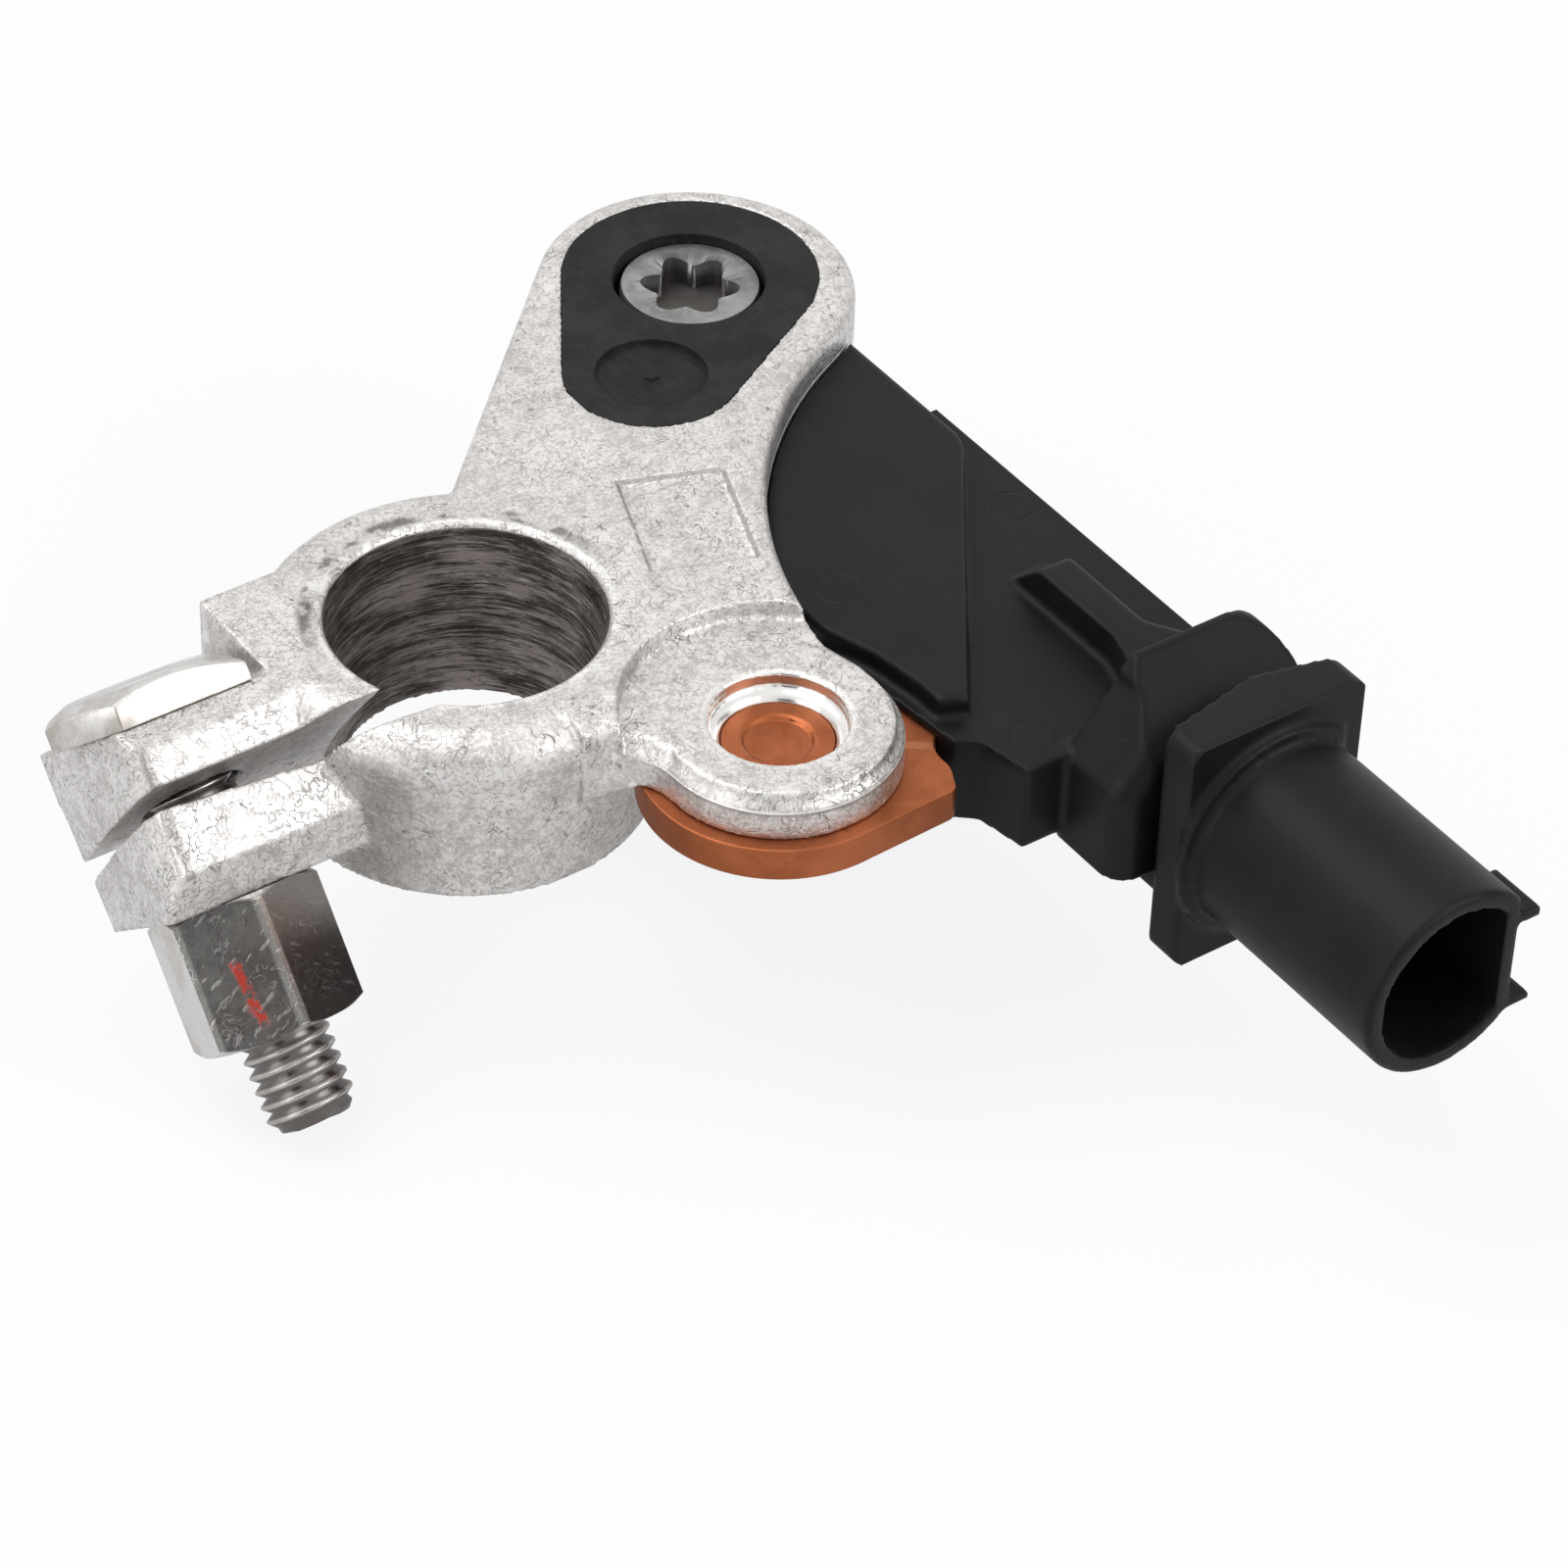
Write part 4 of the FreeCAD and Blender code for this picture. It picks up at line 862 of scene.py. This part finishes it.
def black_housing_finish(colours, marks=()):
    """Glass-filled black moulding with ejector marks on its decks."""
    finish = Finish("black_housing", {"Specular IOR Level": 0.17})
    clouds = finish.noise(140, 4, 0.6)
    grain = finish.noise(3600, 2, 0.5)
    dust = finish.step(finish.noise(1500, 2, 0.6), 0.7, 0.76)
    dust = dust * finish.step(finish.noise(160, 2), 0.48, 0.6)
    worn = finish.step(finish.edges(), 0.53, 0.62)
    rings = None
    for centre in marks:
        ring = finish.near(finish.off(centre) - EJECTOR_RADIUS, 0.03 * MM, 0.14 * MM)
        rings = ring if rings is None else rings.at_least(ring)
    colour = finish.mix(
        finish.step(clouds, 0.35, 0.65), colours.plastic_dark, colours.plastic_light
    )
    colour = finish.mix(worn * 0.35 + dust * 0.25, colour, colours.plastic_worn)
    height = grain * 0.3 + clouds * 0.3
    if rings is not None:
        height = height - rings * 1.2
        colour = finish.mix(rings * 0.5, colour, (0.004, 0.004, 0.004))
    return finish.wire(
        base_color=colour,
        roughness=0.4 + clouds * 0.14 - worn * 0.06 + dust * 0.15,
        normal=finish.bump(height, 0.03 * MM),
    )


def black_insert_finish(colours):
    """Matte black insulating insert, ground flush with the casting."""
    finish = Finish("black_insert", {"Specular IOR Level": 0.2})
    clouds = finish.noise(240, 4, 0.65)
    grain = finish.noise(2600, 3, 0.6)
    scuffs = finish.noise(1, 4, 0.7, finish.stretched((2200, 420, 800)))
    dust = finish.step(finish.noise(1900, 2, 0.6), 0.68, 0.75)
    colour = finish.mix(
        finish.step(clouds * 0.6 + scuffs * 0.4, 0.4, 0.62),
        colours.plastic_light,
        colours.insert_light,
    )
    colour = finish.mix(dust * 0.4, colour, colours.plastic_worn)
    return finish.wire(
        base_color=colour,
        roughness=0.56 + scuffs * 0.16,
        normal=finish.bump(grain * 0.6 + scuffs * 0.4, 0.03 * MM),
    )


def plain_finish(name, dark, light, scale, rough, metallic=0.0):
    """A small part's finish: two tones, a little grain."""
    finish = Finish(name, {"Metallic": metallic})
    clouds = finish.noise(scale, 4, 0.6)
    grain = finish.noise(scale * 8, 2, 0.5)
    return finish.wire(
        base_color=finish.mix(finish.step(clouds, 0.35, 0.65), dark, light),
        roughness=rough + clouds * 0.15,
        normal=finish.bump(grain, 0.01 * MM),
    )


# Sizes and colours


def length(name, description, default):
    return FloatProperty(
        name=name, description=description, default=default, unit="LENGTH", precision=5
    )


def colour(name, description, default):
    return FloatVectorProperty(
        name=name, description=description, default=default, subtype="COLOR",
        min=0, max=1,
    )


class SensorSizes(bpy.types.PropertyGroup):
    """Sizes of what the looks add to the frame."""

    cast_grain: length("Cast skin", "Grid of the casting's skin", 0.0002)
    mould_grain: length("Moulded skin", "Grid of the moulding's skin", 0.00026)
    broken_edge: length("Broken edge", "Width of a broken steel edge", 0.00018)
    sheet_edge: length("Sheet edge", "Width of a stamped plate's edge", 0.0002)
    pitch: length("Pitch", "Pitch of the M6 threads", 0.001)
    thread_crest: length("Thread crest", "Radius over the thread", 0.00295)
    thread_root: length("Thread root", "Radius in the thread's root", 0.00239)
    thread_tip: length("Thread tip", "Radius of the bevelled end", 0.0023)
    thread_lead: length("Lead", "Length of the bevelled end", 0.0009)
    drive_tip: length("Drive, lobes", "Radius of the stud's drive lobes", 0.0034)
    drive_valley: length("Drive, valleys", "Radius between the lobes", 0.0024)
    drive_depth: length("Drive, depth", "Depth of the stud's drive", 0.0021)
    drive_dish: length("Drive, dish", "Radius of the dish round the drive", 0.004)
    pocket: length("Stud pocket", "Radius of the hole round the stud", 0.0052)
    plate_corner: length("Plate corner", "Round of the copper's corners", 0.00045)
    thread_steps: IntProperty(
        name="Thread steps", description="Steps round one turn", default=40, min=12
    )


class SensorColours(bpy.types.PropertyGroup):
    """Colours of the finishes."""

    casting_light: colour("Casting, light", "Tin skin", (0.74, 0.72, 0.7))
    casting_dark: colour("Casting, dark", "Dull tin", (0.48, 0.46, 0.445))
    # Crinkles, with painted shade lines beside the ears' outer ends and round the panel
    casting_line_and_shade: colour("Casting, crinkles", "Fine crinkles", (0.2, 0.19, 0.185))
    # Rubbed edges and the turned hole, with painted highlights on the parting ridge and
    # the bore's rim
    casting_worn_and_highlight: colour("Casting, worn", "Rubbed edges", (0.86, 0.85, 0.83))
    # Pits and stains, with painted shade in hollows, under the parting ridge and inside
    # the stud's drive
    casting_dirt_and_shade: colour("Casting, dirt", "Dirt in pits", (0.1, 0.09, 0.085))
    bore_light: colour("Bore, light", "Cut metal", (0.34, 0.3, 0.275))
    bore_dark: colour("Bore, dark", "Grooves", (0.055, 0.045, 0.04))
    bore_score: colour("Bore, scores", "Bright scores", (0.6, 0.57, 0.54))
    zinc: colour("Zinc", "Bright zinc", (0.66, 0.65, 0.63))
    zinc_bloom: colour("Zinc bloom", "Brown bloom", (0.44, 0.4, 0.37))
    zinc_worn: colour("Zinc, worn", "Rubbed edges", (0.88, 0.87, 0.85))
    # Dark film on the bolt's thread with painted shade in its roots, and painted
    # reflection and shade on the nut's flats
    oil_film_and_shade: colour("Oil film", "Brown film on the nut", (0.07, 0.06, 0.058))
    mark_red: colour("Marking paint", "Dab of red paint", (0.5, 0.04, 0.025))
    stud_light: colour("Stud, light", "Dull steel", (0.34, 0.345, 0.34))
    stud_dark: colour("Stud, dark", "Shaded steel", (0.22, 0.22, 0.215))
    copper_light: colour("Copper, light", "Clean copper", (0.42, 0.13, 0.054))
    copper_dark: colour("Copper, dark", "Oxidised copper", (0.3, 0.088, 0.033))
    copper_worn: colour("Copper, worn", "Rubbed edges", (0.56, 0.24, 0.13))
    # Specks, with painted shade in the copper's hollows
    copper_dirt_and_shade: colour("Copper, dirt", "Dirt", (0.12, 0.045, 0.025))
    plastic_dark: colour("Moulding, dark", "Black plastic", (0.005, 0.005, 0.0052))
    plastic_light: colour("Moulding, light", "Black plastic", (0.0085, 0.0085, 0.009))
    plastic_worn: colour("Moulding, worn", "Rubbed plastic", (0.055, 0.055, 0.056))
    insert_light: colour("Insert", "Ground plastic", (0.022, 0.021, 0.021))


class SensorStage(bpy.types.PropertyGroup):
    """Camera, floor and lamps."""

    azimuth: FloatProperty(
        name="Azimuth", description="Camera's turn round the part",
        default=math.radians(-36.3), subtype="ANGLE",
    )
    elevation: FloatProperty(
        name="Elevation", description="Camera's height as an angle",
        default=math.radians(40.17), subtype="ANGLE",
    )
    roll: FloatProperty(
        name="Roll", description="Camera's tilt to one side",
        default=math.radians(1.95), subtype="ANGLE",
    )
    aim: FloatVectorProperty(
        name="Aim", description="Point in the middle of the view",
        default=(0.01248, -0.01729, -0.00776), subtype="XYZ", unit="LENGTH",
    )
    distance: length("Distance", "Camera's distance from the aim", 0.36866)
    lens: FloatProperty(name="Lens", description="Focal length, mm", default=135)
    floor_size: length("Floor", "Side of the floor", 6.0)


# Operators, one for each piece or group of like pieces


class SENSOR_OT_casting(bpy.types.Operator):
    """Casts the post clamp with its ears, arm and eye"""

    bl_idname = "sensor.casting"
    bl_label = "Terminal casting"

    def shape_eye(self, piece):
        """Deepens the eye's straight wall and steepens its outer bevel."""
        hole, bevel = 4.45 * MM, 6.9 * MM
        wall_foot = -2.05 * MM
        for vertex in piece.data.vertices:
            out = vertex.co.xy - EYE
            at_foot = abs(vertex.co.z - wall_foot) < 0.06 * MM
            if at_foot and abs(out.length - hole) < 0.04 * MM:
                vertex.co.z = -2.5 * MM
            on_top = abs(vertex.co.z - EYE_TOP) < 0.06 * MM
            if on_top and abs(out.length - bevel) < 0.1 * MM:
                vertex.co.xy = EYE + out * (7.25 * MM / bevel)

    def execute(self, context):
        sizes = context.scene.sensor_sizes
        piece = skinned(
            "terminal_casting", "cast_clamp", sizes.cast_grain, shape=self.shape_eye
        )
        finish = tinned_casting_finish(context.scene.sensor_colours)
        dress(piece, "terminal_casting", finish)
        return {"FINISHED"}


class SENSOR_OT_bolt(bpy.types.Operator):
    """Makes the clamp bolt with its long head and cut thread"""

    bl_idname = "sensor.bolt"
    bl_label = "Clamp bolt"

    def execute(self, context):
        sizes = context.scene.sensor_sizes
        place = bolt_frame()
        down = place.to_3x3() @ Vector((0, 0, 1))
        end = reach_of("clamp_bolt", place, down)
        head = merged_copy("clamp_bolt", "bolt_with_thread")
        cut_off(head, place.translation + down * UNDER_BOLT_HEAD, down)
        piece = threaded(head, place, UNDER_BOLT_HEAD, end, sizes.broken_edge, sizes)
        finish = bolt_finish(context.scene.sensor_colours)
        dress(piece, "clamp_bolt", finish)
        return {"FINISHED"}


class SENSOR_OT_nut(bpy.types.Operator):
    """Makes the tall clamp nut with broken edges"""

    bl_idname = "sensor.nut"
    bl_label = "Clamp nut"

    def execute(self, context):
        sizes = context.scene.sensor_sizes
        piece = edged("clamp_nut", "tall_nut", sizes.broken_edge * 1.4)
        finish = marked_nut_finish(context.scene.sensor_colours)
        dress(piece, "clamp_nut", finish)
        return {"FINISHED"}


class SENSOR_OT_insert(bpy.types.Operator):
    """Makes the insulating insert of the arm"""

    bl_idname = "sensor.insert"
    bl_label = "Insulating insert"

    def execute(self, context):
        sizes = context.scene.sensor_sizes
        piece = edged("insulator_insert", "arm_insert", sizes.broken_edge / 2)
        self.narrow_pocket(piece, sizes.pocket)
        finish = black_insert_finish(context.scene.sensor_colours)
        dress(piece, "insulator_insert", finish)
        return {"FINISHED"}

    def narrow_pocket(self, piece, wanted):
        """Draws the wall of the stud's hole in, close to the head."""
        axis = stud_frame().translation.xy
        centre = axis + Vector((-0.35, -0.35)) * MM
        for vertex in piece.data.vertices:
            out = vertex.co.xy - axis
            on_wall = abs(out.length - POCKET_IN_CAD) < 0.4 * MM
            if on_wall and vertex.co.z > -3.5 * MM:
                vertex.co.xy = centre + out * (wanted / POCKET_IN_CAD)


class SENSOR_OT_stud(bpy.types.Operator):
    """Makes the ground stud with its six-lobe drive and cut thread"""

    bl_idname = "sensor.stud"
    bl_label = "Ground stud"

    def execute(self, context):
        sizes = context.scene.sensor_sizes
        place = stud_frame()
        down = place.to_3x3() @ Vector((0, 0, 1))
        end = reach_of("ground_stud", place, down)
        neck = -4.8 * MM
        head = merged_copy("ground_stud", "stud_with_thread")
        cut_off(head, place.translation + down * neck, down)
        self.widen_top(head, place.translation.xy)
        for cutter in self.drive(sizes, place.translation.xy):
            carved(head, cutter)
        piece = threaded(head, place, neck, end, sizes.broken_edge / 2, sizes)
        finish = stud_steel_finish(context.scene.sensor_colours)
        dress(piece, "ground_stud", finish)
        return {"FINISHED"}

    def widen_top(self, head, axis):
        """Brings the top's edge close to the head's side."""
        top = max(vertex.co.z for vertex in head.data.vertices)
        for vertex in head.data.vertices:
            out = vertex.co.xy - axis
            if vertex.co.z > top - 0.05 * MM and out.length > 4.2 * MM:
                vertex.co.xy = axis + out * (4.66 / 4.4)

    def drive(self, sizes, axis):
        """The six-lobed drive and the dish round it, as shapes to cut out."""
        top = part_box("ground_stud")[1].z
        deselect()
        bpy.ops.mesh.primitive_cylinder_add(
            vertices=96, radius=1, depth=2 * sizes.drive_depth
        )
        lobes = bpy.context.object
        for vertex in lobes.data.vertices:
            turn = math.atan2(vertex.co.y, vertex.co.x)
            wave = 0.5 + 0.5 * math.cos(6 * (turn - DRIVE_TURN))
            reach = sizes.drive_valley + wave**0.8 * (
                sizes.drive_tip - sizes.drive_valley
            )
            vertex.co = (
                axis.x + reach * math.cos(turn),
                axis.y + reach * math.sin(turn),
                vertex.co.z + top,
            )
        deselect()
        rise = 0.2 * MM
        slope = 0.14
        low = sizes.drive_valley - 0.4 * MM
        drop = slope * (sizes.drive_dish - low)
        bpy.ops.mesh.primitive_cone_add(
            vertices=96,
            radius1=low,
            radius2=sizes.drive_dish + rise / slope,
            depth=drop + rise,
            location=(axis.x, axis.y, top + (rise - drop) / 2),
        )
        return lobes, bpy.context.object


class SENSOR_OT_copper(bpy.types.Operator):
    """Makes the copper plates and the rivet of the shunt"""

    bl_idname = "sensor.copper"
    bl_label = "Copper plates and rivet"

    def execute(self, context):
        sizes = context.scene.sensor_sizes
        finish = copper_finish(context.scene.sensor_colours)
        for node, name in (
            ("shunt_battery_plate", "battery_copper"),
            ("shunt_ground_plate", "ground_copper"),
            ("eye_rivet", "copper_rivet"),
        ):
            corners = PLATE_CORNERS if node == "shunt_battery_plate" else ()
            piece = edged(
                node, name, sizes.sheet_edge, corners=corners, corner=sizes.plate_corner
            )
            dress(piece, node, finish)
        return {"FINISHED"}


class SENSOR_OT_housing(bpy.types.Operator):
    """Moulds the sensor housing with its neck, flange and socket"""

    bl_idname = "sensor.housing"
    bl_label = "Sensor housing"

    def execute(self, context):
        sizes = context.scene.sensor_sizes
        colours = context.scene.sensor_colours
        piece = skinned("sensor_housing", "moulded_housing", sizes.mould_grain)
        marks = [Vector(place) * MM for place in EJECTOR_MARKS]
        finish = black_housing_finish(colours, marks)
        dress(piece, "sensor_housing", finish)
        return {"FINISHED"}


class SENSOR_OT_inside(bpy.types.Operator):
    """Finishes the cover, the board and the parts on it"""

    bl_idname = "sensor.inside"
    bl_label = "Cover, board and contacts"

    def execute(self, context):
        colours = context.scene.sensor_colours
        black = black_housing_finish(colours)
        black.name = "black_cover"
        tin = plain_finish(
            "tinned_contact", (0.6, 0.59, 0.56), (0.8, 0.79, 0.76), 900, 0.2, 1.0
        )
        resin = plain_finish(
            "chip_resin", (0.012, 0.012, 0.013), (0.024, 0.024, 0.025), 1200, 0.5
        )
        board = plain_finish(
            "board_laminate", (0.012, 0.09, 0.035), (0.02, 0.14, 0.06), 800, 0.3
        )
        ceramic = plain_finish(
            "capacitor_ceramic", (0.3, 0.2, 0.11), (0.42, 0.3, 0.18), 1500, 0.4
        )
        alloy = plain_finish(
            "resistor_alloy", (0.3, 0.22, 0.16), (0.42, 0.33, 0.26), 500, 0.35, 1.0
        )
        finishes = {
            "housing_cover": black,
            "pin_carrier": black,
            "contact_pin_power": tin,
            "contact_pin_data": tin,
            "sense_tap_battery": tin,
            "sense_tap_ground": tin,
            "measuring_chip": resin,
            "bus_chip": resin,
            "temperature_chip": resin,
            "chip_resistors": resin,
            "circuit_board": board,
            "capacitors": ceramic,
            "shunt_resistor": alloy,
        }
        for node, finish in finishes.items():
            paint(node, finish)
        return {"FINISHED"}


class SENSOR_OT_stage(bpy.types.Operator):
    """Sets the floor, the lamps, the white surroundings and the camera"""

    bl_idname = "sensor.stage"
    bl_label = "Stage"

    def execute(self, context):
        stage = context.scene.sensor_stage
        self.floor(stage)
        self.surroundings(context.scene)
        self.card(stage, "dark_card", (-0.52, -0.46, 0.3), 0.42)
        self.card(stage, "side_card", (0.62, -0.17, 0.06), 0.36)
        self.lamps()
        self.camera(context.scene, stage)
        context.scene.view_settings.view_transform = "Standard"
        return {"FINISHED"}

    def floor(self, stage):
        deselect()
        lowest = CAD_BOX[0].z - 0.1 * MM
        bpy.ops.mesh.primitive_plane_add(
            size=stage.floor_size, location=(0, 0, lowest)
        )
        floor = bpy.context.object
        floor.name = "floor"
        finish = Finish("pale_floor", {"Roughness": 0.9, "Specular IOR Level": 0.1})
        finish.wire(base_color=(0.86, 0.86, 0.86))
        rays = finish.node("ShaderNodeLightPath", out="Is Camera Ray")
        glossy = finish.node("ShaderNodeLightPath", out="Is Glossy Ray")
        through = finish.node("ShaderNodeLightPath", out="Is Transmission Ray")
        white = finish.node(
            "ShaderNodeEmission", None, {"Color": (1, 1, 1), "Strength": 1.0}
        )
        lit = Value(finish, finish.shader.outputs[0])
        seen = rays.at_least(through) * 0.86 + glossy * 0.3
        both = finish.node("ShaderNodeMixShader", None, {0: seen, 1: lit, 2: white})
        end = finish.tree.nodes["Material Output"]
        finish.tree.links.new(both.socket, end.inputs["Surface"])
        floor.data.materials.append(finish.material)

    def card(self, stage, name, place, side):
        """A dark card outside the view, which smooth metal reflects."""
        deselect()
        bpy.ops.mesh.primitive_plane_add(size=side, location=place)
        card = bpy.context.object
        card.name = name
        card.rotation_mode = "QUATERNION"
        aim = Vector(stage.aim) - card.location
        card.rotation_quaternion = aim.to_track_quat("Z", "Y")
        card.visible_camera = False
        card.visible_shadow = False
        finish = Finish(name, {"Roughness": 0.9, "Specular IOR Level": 0.1})
        finish.wire(base_color=(0.06, 0.055, 0.05))
        card.data.materials.append(finish.material)

    def surroundings(self, scene):
        world = bpy.data.worlds.new("white_room")
        scene.world = world
        world.use_nodes = True
        nodes = world.node_tree.nodes
        links = world.node_tree.links
        sky = nodes["Background"]
        sky.inputs["Color"].default_value = (0.93, 0.95, 1.0, 1)
        sky.inputs["Strength"].default_value = 0.55
        seen = nodes.new("ShaderNodeBackground")
        seen.inputs["Color"].default_value = (1, 1, 1, 1)
        seen.inputs["Strength"].default_value = 1.0
        rays = nodes.new("ShaderNodeLightPath")
        most = nodes.new("ShaderNodeMath")
        most.operation = "MAXIMUM"
        glossy = nodes.new("ShaderNodeMath")
        glossy.operation = "MAXIMUM"
        both = nodes.new("ShaderNodeMixShader")
        links.new(rays.outputs["Is Camera Ray"], most.inputs[0])
        links.new(rays.outputs["Is Transmission Ray"], most.inputs[1])
        links.new(most.outputs[0], glossy.inputs[0])
        links.new(rays.outputs["Is Glossy Ray"], glossy.inputs[1])
        links.new(glossy.outputs[0], both.inputs[0])
        links.new(sky.outputs[0], both.inputs[1])
        links.new(seen.outputs[0], both.inputs[2])
        links.new(both.outputs[0], nodes["World Output"].inputs["Surface"])

    def lamps(self):
        centre = Vector((0.008, -0.01, -0.01))
        for name, place, side, power in (
            ("key_lamp", (0.34, -0.56, 0.4), 0.42, 2.0),
            ("top_lamp", (-0.2, 0.25, 0.7), 0.5, 2.7),
            ("side_lamp", (-0.65, -0.05, 0.25), 0.4, 0.9),
        ):
            deselect()
            bpy.ops.object.light_add(type="AREA", location=place)
            lamp = bpy.context.object
            lamp.name = name
            lamp.data.shape = "SQUARE"
            lamp.data.size = side
            lamp.data.energy = power
            aim = centre - Vector(place)
            lamp.rotation_mode = "QUATERNION"
            lamp.rotation_quaternion = aim.to_track_quat("-Z", "Y")

    def camera(self, scene, stage):
        out = math.cos(stage.elevation)
        back = Vector(
            (
                math.sin(stage.azimuth) * out,
                -math.cos(stage.azimuth) * out,
                math.sin(stage.elevation),
            )
        )
        deselect()
        bpy.ops.object.camera_add(location=Vector(stage.aim) + back * stage.distance)
        camera = bpy.context.object
        camera.name = "camera"
        camera.rotation_mode = "QUATERNION"
        turn = (-back).to_track_quat("-Z", "Y")
        camera.rotation_quaternion = turn @ Quaternion((0, 0, 1), stage.roll)
        camera.data.lens = stage.lens
        camera.data.sensor_width = 36
        camera.data.clip_start = 0.01
        camera.data.clip_end = 20
        scene.camera = camera


PIECES = (
    "casting",
    "bolt",
    "nut",
    "insert",
    "stud",
    "copper",
    "housing",
    "inside",
    "stage",
)


class SENSOR_PT_panel(bpy.types.Panel):
    """Lists the pieces of the sensor"""

    bl_idname = "SENSOR_PT_panel"
    bl_label = "Battery current sensor"
    bl_space_type = "VIEW_3D"
    bl_region_type = "UI"
    bl_category = "Sensor"

    def draw(self, context):
        for piece in PIECES:
            self.layout.operator("sensor." + piece)


CLASSES = (
    SensorSizes,
    SensorColours,
    SensorStage,
    SENSOR_OT_casting,
    SENSOR_OT_bolt,
    SENSOR_OT_nut,
    SENSOR_OT_insert,
    SENSOR_OT_stud,
    SENSOR_OT_copper,
    SENSOR_OT_housing,
    SENSOR_OT_inside,
    SENSOR_OT_stage,
    SENSOR_PT_panel,
)


def register():
    for item in CLASSES:
        bpy.utils.register_class(item)
    bpy.types.Scene.sensor_sizes = PointerProperty(type=SensorSizes)
    bpy.types.Scene.sensor_colours = PointerProperty(type=SensorColours)
    bpy.types.Scene.sensor_stage = PointerProperty(type=SensorStage)


def unregister():
    del bpy.types.Scene.sensor_stage
    del bpy.types.Scene.sensor_colours
    del bpy.types.Scene.sensor_sizes
    for item in reversed(CLASSES):
        bpy.utils.unregister_class(item)


def main():
    register()
    for piece in PIECES:
        getattr(bpy.ops.sensor, piece)()


if __name__ == "__main__":
    main()
